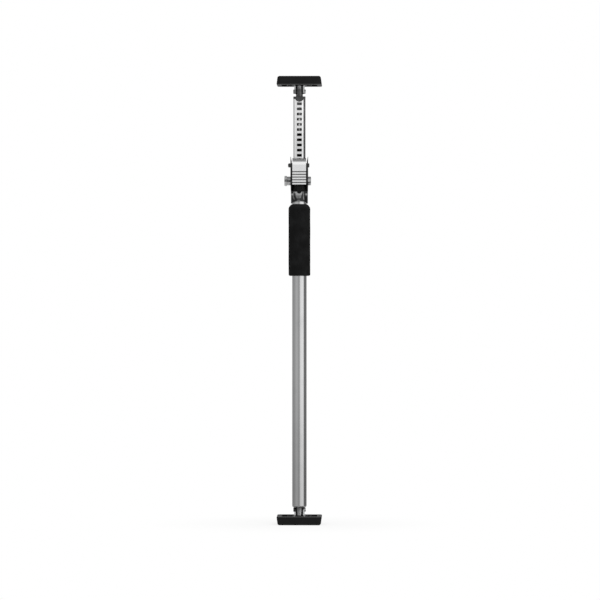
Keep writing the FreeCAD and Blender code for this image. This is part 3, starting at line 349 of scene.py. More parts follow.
finishes["tube_steel"] = plated_steel(
    "satin_tube_plating",
    level=0.45,
    rough=0.14,
    lines=ALONG_Z,
    darker_below=DARKER_BELOW,
    lit_end_below=ROLLED_END,
    shadow_above=UNDER_SLEEVE,
)
finishes["black_pin_steel"] = plated_steel("black_oxide_pin", level=0.06, rough=0.35, lines=TURNED_X)
finishes["spring_steel"] = plated_steel("spring_wire", level=0.35, rough=0.3, lines=EVEN)
print(len(finishes), "kinds of plating")

# %% [markdown]
# ## The slotted bar
#
# The bar is a box of bright plated steel, brightest near the head, where the bush hardly rubs it and the
# plating is still fresh and satin. Its inside is painted dark, as the shade within the bar, and so the
# slots read as black. Inside means deeper than a thin skin. Only near the head a strip of the back wall
# is painted light, which shows through a few slots. A painted dark reflection lies in a line along the
# right front corner, and the left edge is painted darker, as a dimmer reflection.

# %% Bright outside, dark inside
bar_low, bar_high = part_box("slotted_bar")
# The round of the bar's corners, and the thin skin outside the painted shade inside.
BAR_CORNER = 0.005
BAR_SKIN = 0.0008
SKIN_BLUR = 0.0002
# Painted shade for the inside of the bar.
INSIDE_SHADE = grey(0.012)
SCRATCHES = (900.0, 900.0, 25.0)
SCRATCHED_ZINC = grey(0.4)
# The heights between which the plating turns fresh.
FRESH_FROM = 0.645
FRESH_TO = 0.715
FRESH_ZINC = grey(0.99)
RUBBED_ZINC = grey(0.88, blue=0.005)
CLOUDED_ZINC = grey(0.68, blue=0.01)
# The left edge's painted darker reflection, the right front corner's painted dark reflection, and the
# painted light on a strip of the back wall.
LEFT_REFLECTION_FROM = -0.0072
LEFT_REFLECTION_BLUR = 0.002
LEFT_REFLECTION_GREY = grey(0.66)
CORNER_REFLECTION_FROM = 0.0062
CORNER_REFLECTION_BLUR = 0.0009
CORNER_REFLECTION_FRONT = (0.0012, 0.0024)
CORNER_DARK_REFLECTION = grey(0.03)
BACK_LIGHT_FROM = 0.677
BACK_LIGHT_BLUR = 0.01
BACK_LIGHT_HALF = 0.0022
BACK_LIGHT_DEPTH = (0.002, 0.003)
PAINTED_BACK_LIGHT = grey(0.7)


def bar_plating():
    """Depth = how far a point lies within a box with round corners. Deeper than the skin is inside."""
    bar = Finish("bright_bar_plating")
    aside = abs(bar.x) - (bar_high.x - BAR_CORNER)
    ahead = abs(bar.y) - (bar_high.y - BAR_CORNER)
    past_side = bar.most(aside, 0.0)
    past_front = bar.most(ahead, 0.0)
    on_corner = bar.sum("SQRT", past_side * past_side + past_front * past_front)
    on_flat = bar.sum("MINIMUM", bar.most(aside, ahead), 0.0)
    # Painted shade: deeper than the skin is inside.
    inside = bar.step(BAR_CORNER - on_corner - on_flat, BAR_SKIN - SKIN_BLUR, BAR_SKIN)
    grain = bar.streaks(ALONG_Z)
    scratch = bar.step(bar.streaks(SCRATCHES, detail=5.0), low=0.62, high=0.7)
    cloud = bar.noise(bar.place, scale=60.0, detail=4.0)
    clouded = bar.step(cloud, low=0.4, high=0.75)
    fresh = bar.step(bar.z, FRESH_FROM, FRESH_TO)
    # Painted darker reflection on the left edge, painted dark reflection along the right front corner, and
    # painted light on a strip of the back wall.
    left_reflection = bar.fade(bar.x, LEFT_REFLECTION_FROM - LEFT_REFLECTION_BLUR, LEFT_REFLECTION_FROM)
    corner_reflection = bar.step(bar.x, CORNER_REFLECTION_FROM, CORNER_REFLECTION_FROM + CORNER_REFLECTION_BLUR) * bar.step(-bar.y, *CORNER_REFLECTION_FRONT)
    back_light = inside * bar.step(bar.y, *BACK_LIGHT_DEPTH) * bar.band(bar.x, 0.0, BACK_LIGHT_HALF)
    back_light = back_light * bar.step(bar.z, BACK_LIGHT_FROM, BACK_LIGHT_FROM + BACK_LIGHT_BLUR)
    colour = bar.mix(fresh, RUBBED_ZINC, FRESH_ZINC)
    colour = bar.mix(clouded * (0.3 - fresh * 0.2), colour, CLOUDED_ZINC)
    colour = bar.mix(scratch, colour, SCRATCHED_ZINC, at_most=0.15)
    colour = bar.mix(left_reflection, colour, LEFT_REFLECTION_GREY)
    colour = bar.mix(corner_reflection * (0.8 + cloud * 0.2), colour, CORNER_DARK_REFLECTION)
    # Painted shade inside, and painted light on the back wall over it.
    colour = bar.mix(inside, colour, INSIDE_SHADE)
    colour = bar.mix(back_light, colour, PAINTED_BACK_LIGHT)
    return bar.close(
        Base_Color=colour,
        Metallic=1.0,
        Roughness=0.22 + fresh * 0.045 + bar.sway(grain, 0.12) + scratch * 0.1 + (inside - back_light) * 0.3,
        Normal=bar.bump(grain, FINE_DEPTH),
    )


finishes["bar_steel"] = bar_plating()
print("bar", round((bar_high.x - bar_low.x) * TO_MM, 1), "mm wide")

# %% [markdown]
# ## Ears, rivets and plates
#
# The ears are plated too, and riveted to a plate. The plate, the ears' flanges, the rivets and the ears
# near the plate are painted black, as shade inside the pad. Round the black head of the pin, on the
# left, they are darker, at the foot more than at the head. Both ends are alike and point away from the
# middle of the support, so the distance from the middle serves for both.

# %% Plating with painted shade by the plate
pivot_low, pivot_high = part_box("foot_pivot_pin")
PIN_AWAY = middle - (pivot_low.z + pivot_high.z) / 2
PLATE_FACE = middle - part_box("foot_plate")[1].z
EAR_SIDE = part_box("foot_ear_right")[0].x + 0.0034
# The painted shade's edge on the ears, and on their flanges outward and upward.
SHADE_RIPPLE = 0.0008
SHADE_FROM = (PLATE_FACE - 0.0018, PLATE_FACE - 0.0012)
FLANGE_FROM = (EAR_SIDE, EAR_SIDE + 0.001)
FLANGE_FOOT = (PLATE_FACE - 0.006, PLATE_FACE - 0.005)
# Painted shade inside the pad's mouth.
PAINTED_SHADE_BLACK = grey(0.012)
# Darker round the pin's head, on the left.
DARKER_REACH = (0.003, 0.0042)
FOOT_DARKER = 0.95
HEAD_DARKER = 0.55
PIN_DARK = grey(0.015)
HALF_BLUR = 0.001


def left_half(steel):
    """1 at the left of the middle plane, 0 at its right."""
    return steel.fade(steel.x, -HALF_BLUR, HALF_BLUR)


def steel_shaded_at_plate(name, level, rough):
    """Painted shade = near the plate, or out on the flanges. Away = the distance from the middle of the
    support.
    """
    steel = Finish(name)
    away = abs(steel.z - middle)
    ripple = steel.noise(steel.place, scale=300.0) * SHADE_RIPPLE
    # Painted shade near the plate and out on the flanges.
    on_plate = steel.step(away + ripple, *SHADE_FROM)
    on_flange = steel.step(abs(steel.x) + ripple, *FLANGE_FROM) * steel.step(away, *FLANGE_FOOT)
    painted_shade = steel.most(on_plate, on_flange)
    grain = steel.noise(steel.place, scale=1400.0)
    blotch = steel.patches(scale=240.0, detail=5.0, low=0.58, high=0.7)
    # Darker round the pin's head, on the left, more at the foot.
    at_pin = steel.fade(abs(away - PIN_AWAY), *DARKER_REACH)
    at_head = steel.step(steel.z, 0, middle)
    darker_patch = at_pin * left_half(steel) * (FOOT_DARKER + at_head * (HEAD_DARKER - FOOT_DARKER))
    colour = steel.mix(blotch, grey(level, blue=0.01), grey(level * 0.6), at_most=0.25)
    colour = steel.mix(darker_patch, colour, PIN_DARK)
    colour = steel.mix(painted_shade, colour, PAINTED_SHADE_BLACK)
    return steel.close(
        Base_Color=colour,
        Metallic=1 - painted_shade,
        Roughness=rough + steel.sway(grain, 0.1) + painted_shade * 0.25,
        Specular_IOR_Level=0.2,
        Normal=steel.bump(grain, distance=0.00002),
    )


finishes["ear_steel"] = steel_shaded_at_plate("ear_plating_shaded_at_plate", level=0.43, rough=0.28)
finishes["rivet_steel"] = steel_shaded_at_plate("rivet_plating_shaded_at_plate", level=0.5, rough=0.35)
finishes["plate_steel"] = steel_shaded_at_plate("plate_in_painted_shade", level=0.4, rough=0.4)
print("pivots", round(PIN_AWAY * TO_MM, 1), "mm from the middle")

# %% [markdown]
# ## Studs and pins
#
# The swivel studs are turned from dark steel. Their tips shine, but toward the plugs that they turn in
# they are painted black as shade, at the head more than at the foot. The pivot pins are turned too: their
# heads, on the left, are blackened, and the caps on the right are plated. Both are a mask across one
# axis, so one function serves both.

# %% Turned steel, dark at one end
TURNED_Z = (60.0, 60.0, 2500.0)
# Where the painted shade toward the plugs begins, and where it is full at the foot and at the head.
LIT_TO = 0.0155
FOOT_SHADE_FULL = 0.031
HEAD_SHADE_FULL = 0.023
MIDDLE_BLUR = 0.01


def turned_steel(name, lines, dark_share, bright, dark):
    """Two levels of grey. dark_share takes the finish and gives the mask of the darker one."""
    steel = Finish(name)
    grain = steel.streaks(lines)
    patch = steel.noise(steel.place, scale=260.0, detail=4.0)
    share = dark_share(steel)
    return steel.close(
        Base_Color=steel.mix(share * (0.75 + patch * 0.3), grey(bright, blue=0.01), grey(dark)),
        Metallic=1.0,
        Roughness=0.28 + steel.sway(grain, 0.12) + share * 0.12,
        Normal=steel.bump(grain, LINE_DEPTH),
    )


def shade_near_plug(steel):
    """Painted shade = a step in the distance from the nearer pad's face, which is shorter at the head."""
    from_face = middle - abs(steel.z - middle)
    at_head = steel.step(steel.z, middle - MIDDLE_BLUR, middle)
    return steel.step(from_face, LIT_TO, FOOT_SHADE_FULL + at_head * (HEAD_SHADE_FULL - FOOT_SHADE_FULL))


finishes["stud_steel"] = turned_steel("dark_turned_stud", TURNED_Z, shade_near_plug, bright=0.38, dark=0.05)
finishes["pin_steel"] = turned_steel("turned_pin", TURNED_X, left_half, bright=0.42, dark=0.07)
print("studs shine to", round(LIT_TO * TO_MM, 1), "mm from the pads' faces")

# %% [markdown]
# ## The release lever
#
# The lever is bent from bright plated sheet, with a painted highlight along its bend. Five grooves are
# pressed across it, with soiling and painted shade in them. The plate leans, so the distance along it is
# a sum of y and z, and a dark band goes round each groove's place. The lip that curls into the bar is
# painted dark, as a dark reflection.

# %% Bright lever with soiling and painted shade in its grooves
lever_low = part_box("release_lever")[0]
LEVER_LEAN = math.radians(15)
LEVER_ZINC = grey(0.76, blue=0.01)
GROOVE_FIRST = 0.0039
GROOVE_PITCH = 0.00485
GROOVE_COUNT = 5
GROOVE_HALF = 0.0013
# Soiling and painted shade in the grooves.
GROOVE_GRIME_AND_SHADE = grey(0.07)
ROW_MIDDLE = (GROOVE_COUNT - 1) / 2
ROW_BLUR = 0.1
ROW_ENDS = (GROOVE_COUNT / 2 - ROW_BLUR, GROOVE_COUNT / 2 + ROW_BLUR)
BEND_Z = 0.6232
BEND_HALF = 0.0034
# Painted highlight along the bend.
BEND_HIGHLIGHT = grey(0.95)
LIP_FROM = 0.6258
LIP_BLUR = 0.0006
LIP_TO = 0.633
# Painted dark reflection on the lip.
LIP_DARK_REFLECTION = grey(0.1)


def lever_plating():
    """Soiling and painted shade = a band round each groove, measured along the leaning plate from its lower
    edge.
    """
    lever = Finish("bright_lever_plating")
    rise = (lever.z - lever_low.z) * math.cos(LEVER_LEAN)
    along = rise + (lever.y - lever_low.y) * math.sin(LEVER_LEAN)
    turn = (along - GROOVE_FIRST) / GROOVE_PITCH
    distance = abs(turn - lever.sum("ROUND", turn)) * GROOVE_PITCH
    in_row = lever.fade(abs(turn - ROW_MIDDLE), *ROW_ENDS)
    # Soiling and painted shade round each groove.
    dark_band = lever.fade(distance, GROOVE_HALF / 2, GROOVE_HALF) * in_row
    grain = lever.streaks(ALONG_X)
    smear = lever.noise(lever.place, scale=160.0, detail=4.0)
    lip = lever.step(lever.z, LIP_FROM, LIP_FROM + LIP_BLUR)
    lip = lip * (1 - lever.step(lever.z, LIP_FROM, LIP_TO) * 0.6)
    # Painted highlight at the bend, then soiling and shade in the grooves, then the lip's painted dark
    # reflection.
    colour = lever.mix(lever.band(lever.z, BEND_Z, BEND_HALF), LEVER_ZINC, BEND_HIGHLIGHT)
    colour = lever.mix(dark_band * (0.7 + smear * 0.4), colour, GROOVE_GRIME_AND_SHADE)
    colour = lever.mix(lip, colour, LIP_DARK_REFLECTION, at_most=0.9)
    return lever.close(
        Base_Color=colour,
        Metallic=1.0,
        Roughness=0.27 + lever.sway(grain, 0.1) + dark_band * 0.2 + smear * 0.05,
        Normal=lever.bump(grain, FINE_DEPTH),
    )


finishes["lever_steel"] = lever_plating()
print(GROOVE_COUNT, "grooves every", GROOVE_PITCH * TO_MM, "mm")

# %% [markdown]
# ## The ratchet housing
#
# The housing is pressed from one sheet: a sleeve on the tube that opens into two cheeks. Its cut edges
# are dark. Those edges are the faces of the cheeks whose normal has no part along x and looks to the
# front, which the Normal coordinate gives. The sleeve's front is painted black, as the dark reflections
# of its polished plating, all but a rough cross where the plating shows.

# %% Plated sheet with dark cut edges
# How far a normal points to the front, or sideways.
TO_FRONT = (0.05, 0.3)
SIDEWAYS = (0.35, 0.6)
# Where the cut edges, the shoulders and the points begin.
EDGE_FROM = tube_high.z + 0.0034
EDGE_BLUR = 0.001
EDGE_BLACK = grey(0.015)
SHOULDER_Z = tube_high.z + 0.0005
SHOULDER_BLUR = 0.0014
OUT_WIDE = (0.0095, 0.0115)
POINTS_FROM = 0.622
POINTS_BLUR = 0.002
POINTS_SIDE = (0.984, 0.996)
# The bright cross, where the painted dark reflection is left out, the streaks beside it and the glints
# above it.
CROSS_X = -0.0012
CROSS_Z = tube_high.z - 0.0088
CROSS_WAVER = 0.005
CROSS_SPREAD = 0.42
CROSS_EDGE = (0.0006, 0.003)
CROSS_WAIST = (0.0008, 0.0028)
CROSS_BRIGHT = (SHOULDER_Z - 0.0035, SHOULDER_Z - 0.001)
STREAK_ASIDE = 0.0086
STREAK_HALF = 0.0012
GLINT_Z = SHOULDER_Z - 0.0008
GLINT_HALF = 0.0022
HOUSING_ZINC = grey(0.36, blue=0.01)
PATCHY_ZINC = grey(0.22)
# The painted dark reflection on the sleeve's front.
SLEEVE_DARK_REFLECTION = grey(0.02)


def cut_edge(sheet, sideways, front):
    """Cut edge = above the sleeve, facing the front, not sideways, and the slopes of the points."""
    edge = sheet.fade(sideways, *SIDEWAYS) * front * sheet.step(sheet.z, EDGE_FROM, EDGE_FROM + EDGE_BLUR)
    shoulder = sheet.step(sheet.z, SHOULDER_Z, SHOULDER_Z + SHOULDER_BLUR)
    shoulder = shoulder * sheet.step(abs(sheet.x), *OUT_WIDE) * front
    point = sheet.step(sheet.z, POINTS_FROM, POINTS_FROM + POINTS_BLUR) * sheet.fade(sideways, *POINTS_SIDE)
    return sheet.most(edge, shoulder, point)


def bright_cross(sheet):
    """Bright = no painted dark reflection: a wavering cross with a gap at its waist, two streaks, and a
    glint under each shoulder.
    """
    waver = sheet.sway(sheet.noise(sheet.place, scale=190.0, detail=2.0), CROSS_WAVER)
    aside = abs(sheet.x - CROSS_X + waver)
    waist = abs(sheet.z - CROSS_Z)
    cross = sheet.fade(aside - waist * CROSS_SPREAD, *CROSS_EDGE)
    cross = cross * (0.3 + sheet.step(waist, *CROSS_WAIST) * 0.7)
    cross = cross * (0.55 + sheet.step(sheet.z, *CROSS_BRIGHT) * 0.45)
    streak = sheet.band(aside, STREAK_ASIDE, STREAK_HALF) * 0.5
    streak = streak * sheet.step(sheet.z, CROSS_Z - STREAK_HALF, CROSS_Z)
    glint = sheet.band(sheet.z, GLINT_Z, GLINT_HALF) * sheet.step(abs(sheet.x), *OUT_WIDE) * 0.8
    return sheet.most(cross, streak, glint)


def housing_plating():
    """Painted dark reflection = all that looks to the front, outside the bright cross."""
    sheet = Finish("polished_housing_plating")
    across, ahead = sheet.split(sheet.facing)[:2]
    front = sheet.step(-ahead, *TO_FRONT)
    edge = cut_edge(sheet, abs(across), front)
    # Painted dark reflection: the front of the sleeve, all but the bright cross.
    dark_reflection = (1 - bright_cross(sheet)) * front
    grain = sheet.streaks(ALONG_Z, detail=3.0)
    patch = sheet.patches(scale=90.0, detail=4.0, low=0.4, high=0.7)
    colour = sheet.mix(patch, HOUSING_ZINC, PATCHY_ZINC, at_most=0.35)
    colour = sheet.mix(dark_reflection, colour, SLEEVE_DARK_REFLECTION, at_most=0.97)
    colour = sheet.mix(edge, colour, EDGE_BLACK, at_most=0.96)
    return sheet.close(
        Base_Color=colour,
        Metallic=1 - edge,
        Roughness=0.14 + sheet.sway(grain, 0.08) + edge * 0.4 + dark_reflection * 0.15,
        Specular_IOR_Level=0.1,
        Normal=sheet.bump(grain, FINE_DEPTH),
    )


finishes["housing_steel"] = housing_plating()
print("cut edges from", round(EDGE_FROM * TO_MM, 1), "mm up")

# %% [markdown]
# ## The cross bolt
#
# The front and back flats of the bolt's head and nut get a painted dark reflection: a dark line along
# them, at the nut's middle and low on the head. Those are the faces that look along y, which the Normal
# coordinate tells.

# %% Plating with painted dark reflections on its flats
bolt_low, bolt_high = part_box("cross_bolt")
BOLT_ZINC = grey(0.52, blue=0.01)
ALONG_Y = (0.8, 0.95)
MARK_HALF = 0.003
MARK_STREAKS = (300.0, 300.0, 900.0)
# The painted dark reflection on the front and back flats.
FACET_DARK_REFLECTION = grey(0.045)
HEAD_MARK_DROP = 0.0037


def facet_reflection_plating():
    """Painted dark reflection = faces whose normal points along y, in a line along the nut and lower on the
    head.
    """
    bolt = Finish("bolt_plating_with_painted_reflection")
    facing_y = bolt.split(bolt.facing)[1]
    rise = bolt.z - (bolt_low.z + bolt_high.z) / 2 + (1 - left_half(bolt)) * HEAD_MARK_DROP
    # Painted dark reflection on the flats that look along y.
    dark_facets = bolt.step(abs(facing_y), *ALONG_Y) * bolt.band(rise, 0.0, MARK_HALF, core=0.6)
    grain = bolt.streaks(TURNED_X)
    blotch = bolt.step(bolt.streaks(MARK_STREAKS), low=0.3, high=0.6)
    return bolt.close(
        Base_Color=bolt.mix(dark_facets * (0.6 + blotch * 0.4), BOLT_ZINC, FACET_DARK_REFLECTION),
        Metallic=1.0,
        Roughness=0.27 + bolt.sway(grain, 0.1) + dark_facets * 0.12,
        Normal=bolt.bump(grain, LINE_DEPTH),
    )


finishes["bolt_steel"] = facet_reflection_plating()
print("painted dark bands", MARK_HALF * 2 * TO_MM, "mm wide")

# %% [markdown]
# ## The knurled lock nut
#
# The round nut on the cross bolt is turned with fingers, so its rim is knurled. A knurl is two sets of
# ridges that cross. Both are waves in the angle round the bolt, one leaning each way along it. A dark
# reflection is painted in a line across its front.

# %% Knurled rim
nut_low, nut_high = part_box("cross_bolt_lock_nut")
NUT_WIDTH = nut_high.z - nut_low.z
NUT_RIM = (NUT_WIDTH * 0.46, NUT_WIDTH * 0.485)
NUT_TEETH = 40
NUT_LEAN = 900.0
KNURL_DEPTH = 0.0004
NUT_ZINC = grey(0.62, blue=0.01)
VALLEY_ZINC = grey(0.3)
# Where the painted dark reflection runs across the front.
REFLECTION_RISE = 0.0003
REFLECTION_HALF = (0.0014, 0.003)
REFLECTION_FRONT = (0.0, 0.004)
FRONT_DARK_REFLECTION = grey(0.06)


def knurled_nut():
    """Height = the product of sin(teeth x angle + lean x) and sin(teeth x angle - lean x) on the rim."""
    nut = Finish("knurled_nut_plating")
    up = nut.z - (nut_low.z + nut_high.z) / 2
    ahead = nut.y - (nut_low.y + nut_high.y) / 2
    angle = nut.sum("ARCTAN2", up, ahead)
    ridges = nut.sum("SINE", angle * NUT_TEETH + nut.x * NUT_LEAN)
    crossed = nut.sum("SINE", angle * NUT_TEETH - nut.x * NUT_LEAN)
    rim = nut.step(nut.sum("SQRT", up * up + ahead * ahead), *NUT_RIM)
    relief = ridges * crossed * rim * 0.5 + 0.5
    patch = nut.noise(nut.place, scale=260.0)
    # Painted dark reflection in a line across the front.
    front_reflection = nut.fade(abs(up - REFLECTION_RISE), *REFLECTION_HALF) * nut.step(-ahead, *REFLECTION_FRONT)
    colour = nut.mix((1 - relief) * rim, NUT_ZINC, VALLEY_ZINC, at_most=0.5)
    colour = nut.mix(front_reflection * (0.6 + patch * 0.5), colour, FRONT_DARK_REFLECTION)
    return nut.close(
        Base_Color=colour,
        Metallic=1.0,
        Roughness=0.26 + patch * 0.12,
        Normal=nut.bump(relief, KNURL_DEPTH),
    )


finishes["lock_nut_steel"] = knurled_nut()
print(NUT_TEETH, "teeth round the lock nut")

# %% [markdown]
# ## Rubber pads
#
# The pads are moulded black rubber. The mould leaves a fine even grain, handling leaves pale smears, and
# the rim is grey, from rubbing on boxes and from a painted highlight on its edge. Both pads are alike and
# point away from the middle of the support, so the distance from the middle serves for both.

# %% Moulded rubber
pad_low, pad_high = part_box("foot_pad")
PAD_DEPTH = pad_high.z - pad_low.z
RIM_AWAY = middle - pad_high.z
RIM_BAND = (0.015, 0.075)
# Grey of the rim's wear and its painted highlight.
RIM_WEAR_AND_HIGHLIGHT = grey(0.13)
RUBBER = grey(0.008)
SMEARED_RUBBER = grey(0.013, blue=0.02)


def moulded_rubber():
    """Rub and painted highlight = a narrow band at the rim, broken up by noise. Level = the share of the
    pad's depth.
    """
    rubber = Finish("moulded_rubber")
    level = (abs(rubber.z - middle) - RIM_AWAY) / PAD_DEPTH
    grain = rubber.noise(rubber.place, scale=2200.0, detail=2.0)
    smear = rubber.noise(rubber.place, scale=55.0, detail=5.0)
    # Rim wear and a painted highlight on the rim's edge.
    rubbed_and_lit_rim = rubber.fade(level, *RIM_BAND) * rubber.patches(scale=420.0, detail=4.0, low=0.2, high=0.5)
    smeared = rubber.step(smear, low=0.4, high=0.75)
    colour = rubber.mix(smeared, RUBBER, SMEARED_RUBBER, at_most=0.5)
    colour = rubber.mix(rubbed_and_lit_rim, colour, RIM_WEAR_AND_HIGHLIGHT, at_most=0.7)
    return rubber.close(
        Base_Color=colour,
        Roughness=0.56 + rubber.sway(smear, 0.16) + rubbed_and_lit_rim * 0.15,
        Specular_IOR_Level=0.08,
        Normal=rubber.bump(grain, distance=0.00012, strength=0.6),
    )


finishes["black_rubber"] = moulded_rubber()
print("pads", round(PAD_DEPTH * TO_MM, 1), "mm deep")

# %% [markdown]
# ## Nylon mouldings
#
# The guide bush, the plugs, the glide and the friction plates are injection moulded nylon: a soft sheen,
# a faint spark-eroded grain, and slow flow marks that change the gloss more than the colour.

# %% Moulded nylon
FLOW_MARKS = (120.0, 120.0, 30.0)


def moulded_nylon(name, level, rough):
    """Marks = noise drawn out along z, which lightens the nylon a little and sways its roughness."""
    nylon = Finish(name)
    grain = nylon.cells(nylon.place, scale=2600.0)
    marks = nylon.streaks(FLOW_MARKS)
    pale = nylon.step(marks, low=0.35, high=0.7)
    return nylon.close(
        Base_Color=nylon.mix(pale, grey(level), grey(level * 1.5, blue=0.02)),
        Roughness=rough + nylon.sway(marks, 0.15),
        Specular_IOR_Level=0.12,
        Normal=nylon.bump(grain, distance=0.00003, strength=0.5),
    )


finishes["black_nylon"] = moulded_nylon("black_nylon", level=0.005, rough=0.5)
finishes["plug_nylon"] = moulded_nylon("grey_nylon", level=0.055, rough=0.55)
finishes["friction_nylon"] = moulded_nylon("friction_nylon", level=0.012, rough=0.5)
print("nylon in three shades")

# %% [markdown]
# ## Foam for the grip
#
# The grip is closed-cell foam. Its skin is a field of tiny cells, some of them open, so it shows no
# highlight, and it is paler near the top and where hands have rubbed it.

# %% Foam
grip_low, grip_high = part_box("foam_grip")
FOAM = grey(0.0065)
RUBBED_FOAM = grey(0.0125, blue=0.03)
OPEN_PORE = grey(0.002)
PALER_FOAM = grey(0.05)
PALER_TOP = (grip_high.z - 0.009, grip_high.z - 0.001)
CELL_DEPTH = 0.00035


def closed_cell_foam():
    """Skin = round cells with a few open pores, and paler near the upper end."""
    foam = Finish("closed_cell_foam")
    cells = foam.cells(foam.place, scale=1300.0)
    pores = foam.patches(scale=900.0, detail=2.0, low=0.62, high=0.72)
    cloud = foam.noise(foam.place, scale=60.0, detail=5.0)
    height_tone = foam.step(foam.z, *PALER_TOP) * cloud
    colour = foam.mix(foam.step(cloud, low=0.35, high=0.75), FOAM, RUBBED_FOAM)
    colour = foam.mix(pores, colour, OPEN_PORE, at_most=0.7)
    colour = foam.mix(height_tone, colour, PALER_FOAM, at_most=0.25)
    return foam.close(
        Base_Color=colour,
        Roughness=0.88 + foam.sway(cloud, 0.1),
        Specular_IOR_Level=0.06,
        Normal=foam.bump(cells - pores * 0.8, CELL_DEPTH, strength=0.7),
    )


finishes["black_foam"] = closed_cell_foam()
print("grip from", round(grip_low.z * TO_MM), "to", round(grip_high.z * TO_MM), "mm")

# %% [markdown]
# ## The foam grip
#
# The grip is a soft sleeve pushed over the tube, so it is not a perfect cylinder: it swells a little
# between its ends, and its skin is uneven. It could be sculpted, but one formula does it: a closed
# profile goes up the outside, over the rounded top and down the bore, and turns about the tube's axis,
# while a few slow waves move the skin in and out by a tenth of a millimetre.


# %% Meshes from arrays
def mesh_piece(name, points, faces):
    """Put a mesh in the scene. Its four-sided faces are shaded smooth, any others flat."""
    mesh = bpy.data.meshes.new(name)
    mesh.from_pydata(points.reshape(-1, 3).tolist(), [], faces)
    mesh.polygons.foreach_set("use_smooth", [len(face) == 4 for face in faces])
    made = bpy.data.objects.new(name, mesh)
    bpy.context.scene.collection.objects.link(made)
    return made


def grid_mesh(name, points):
    """A mesh from points[row, column, xyz] that closes on itself both ways, with faces outwards."""
    rows, columns = points.shape[:2]
    index = np.arange(rows * columns).reshape(rows, columns)
    below = np.roll(index, -1, axis=0)
    beside = np.roll(index, -1, axis=1)
    corner = np.roll(below, -1, axis=1)
    faces = np.stack([index, beside, corner, below], axis=-1).reshape(-1, 4)
    return mesh_piece(name, points, faces.tolist())


print("arrays become meshes")

# %% [markdown]
# ## The grip's profile and skin
#
# The profile is a row of radii and heights. Turned about the axis it gives a grid of points, and the
# waves, each with its lobes round the grip, its change with height and its shift, are added to the radius.

# %% A grip turned from one profile
TURNS = 160
ROUND_STEPS = 16
SIDE_STEPS = 60
BORE_STEPS = 30
SWELL = 0.00012
WAVES = ((3, 90, 0), (5, -160, 1), (2, 140, 0))
BORE = tube_high.x + 0.00005
OUTSIDE = grip_high.x - SWELL
DOME = 0.0075
DOME_POWER = 1.4
FOOT_ROUND = 0.0028


def grip_profile():
    """Radius and height round the grip's wall: bottom, foot round, side, dome, and back down the bore.

    The dome is a superellipse: the shares of its width and height, each raised to a power, add up to 1.
    """
    quarter = np.linspace(0, np.pi / 2, ROUND_STEPS)
    foot_r = OUTSIDE - FOOT_ROUND + FOOT_ROUND * np.sin(quarter)
    foot_z = grip_low.z + FOOT_ROUND - FOOT_ROUND * np.cos(quarter)
    side_z = np.linspace(grip_low.z + FOOT_ROUND, grip_high.z - DOME, SIDE_STEPS)[1:-1]
    top_r = BORE + (OUTSIDE - BORE) * np.cos(quarter) ** (2 / DOME_POWER)
    top_z = grip_high.z - DOME + DOME * np.sin(quarter) ** (2 / DOME_POWER)
    bore_z = np.linspace(grip_high.z, grip_low.z, BORE_STEPS)
    radius = np.concatenate([foot_r, np.full(len(side_z), OUTSIDE), top_r, np.full(BORE_STEPS, BORE)])
    level = np.concatenate([foot_z, side_z, top_z, bore_z])
    return radius, level


def grip_surface():
    """r(z, a) = profile + swell x (slow waves in height and angle), on the outside only."""
    radius, level = grip_profile()
    angle = np.linspace(0, 2 * np.pi, TURNS, endpoint=False)
    r, a = np.meshgrid(radius, angle, indexing="ij")
    z = np.broadcast_to(level[:, None], r.shape)
    waves = sum(np.sin(lobes * a + change * z + shift) for lobes, change, shift in WAVES)
    outside = np.clip((r - BORE) / (OUTSIDE - BORE), 0, 1)
    r = r + SWELL / len(WAVES) * waves * outside
    return np.stack([r * np.cos(a), r * np.sin(a), z], axis=-1)


grip = grid_mesh("foam_grip_skin", grip_surface())
grip.data.materials.append(finishes["black_foam"])
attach(grip, "tube")
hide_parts("foam_grip")
print(len(grip.data.polygons), "faces in the grip")

# %% [markdown]
# ## The lever spring
#
# A spring is wound round the lever's pin. Its long leg rests on the sleeve of the cross bolt and its
# short leg on the back of the lever. The wire is a circle carried along a path: leg, helix, leg. The
# helix lies round the axis that the lever turns about.

# %% The path of the wire
spring_low, spring_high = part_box("lever_spring")
pin_low, pin_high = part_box("lever_pin")
sleeve_low, sleeve_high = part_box("bolt_sleeve")
PIN = ((pin_low + pin_high) / 2).yz
SLEEVE = ((sleeve_low + sleeve_high) / 2).yz
WIRE = 0.001
COIL = 0.0036
COIL_FROM = math.radians(-64)
COIL_TURNS = 4
WIRE_STEP = 0.0005


def straight(first, last):
    """Points about a step apart on the line from first to last."""
    count = math.ceil(np.linalg.norm(last - first) / WIRE_STEP) + 1
    return np.linspace(first, last, count)


def spring_path():
    """Angle grows evenly with x on the helix, and each leg leaves it along its tangent.

    The long leg ends where it touches the sleeve, the short one at the front of the spring's box.
    """
    stop = (sleeve_high.z - sleeve_low.z + WIRE) / 2
    apart = SLEEVE - PIN
    rest = math.sqrt(apart.length**2 - (COIL - stop) ** 2)
    turn = math.atan2(apart.y, apart.x) - math.acos((COIL - stop) / apart.length) - COIL_FROM
    turn += 2 * math.pi * math.ceil(COIL_TURNS - turn / (2 * math.pi))
    angle = np.linspace(COIL_FROM, COIL_FROM + turn, math.ceil(COIL * turn / WIRE_STEP))
    along = np.linspace(spring_low.x + WIRE / 2, spring_high.x - WIRE / 2, len(angle))
    helix = np.stack([along, PIN.x + COIL * np.cos(angle), PIN.y + COIL * np.sin(angle)], axis=-1)
    leave = np.stack([0 * angle, -np.sin(angle), np.cos(angle)], axis=-1)
    tip_y = spring_low.y + WIRE / 2 * abs(math.cos(COIL_FROM))
    short = (helix[0, 1] - tip_y) / leave[0, 1]
    enter = straight(helix[0] - leave[0] * short, helix[0])
    end = straight(helix[-1], helix[-1] + leave[-1] * rest)
    return np.concatenate([enter[:-1], helix, end[1:]])


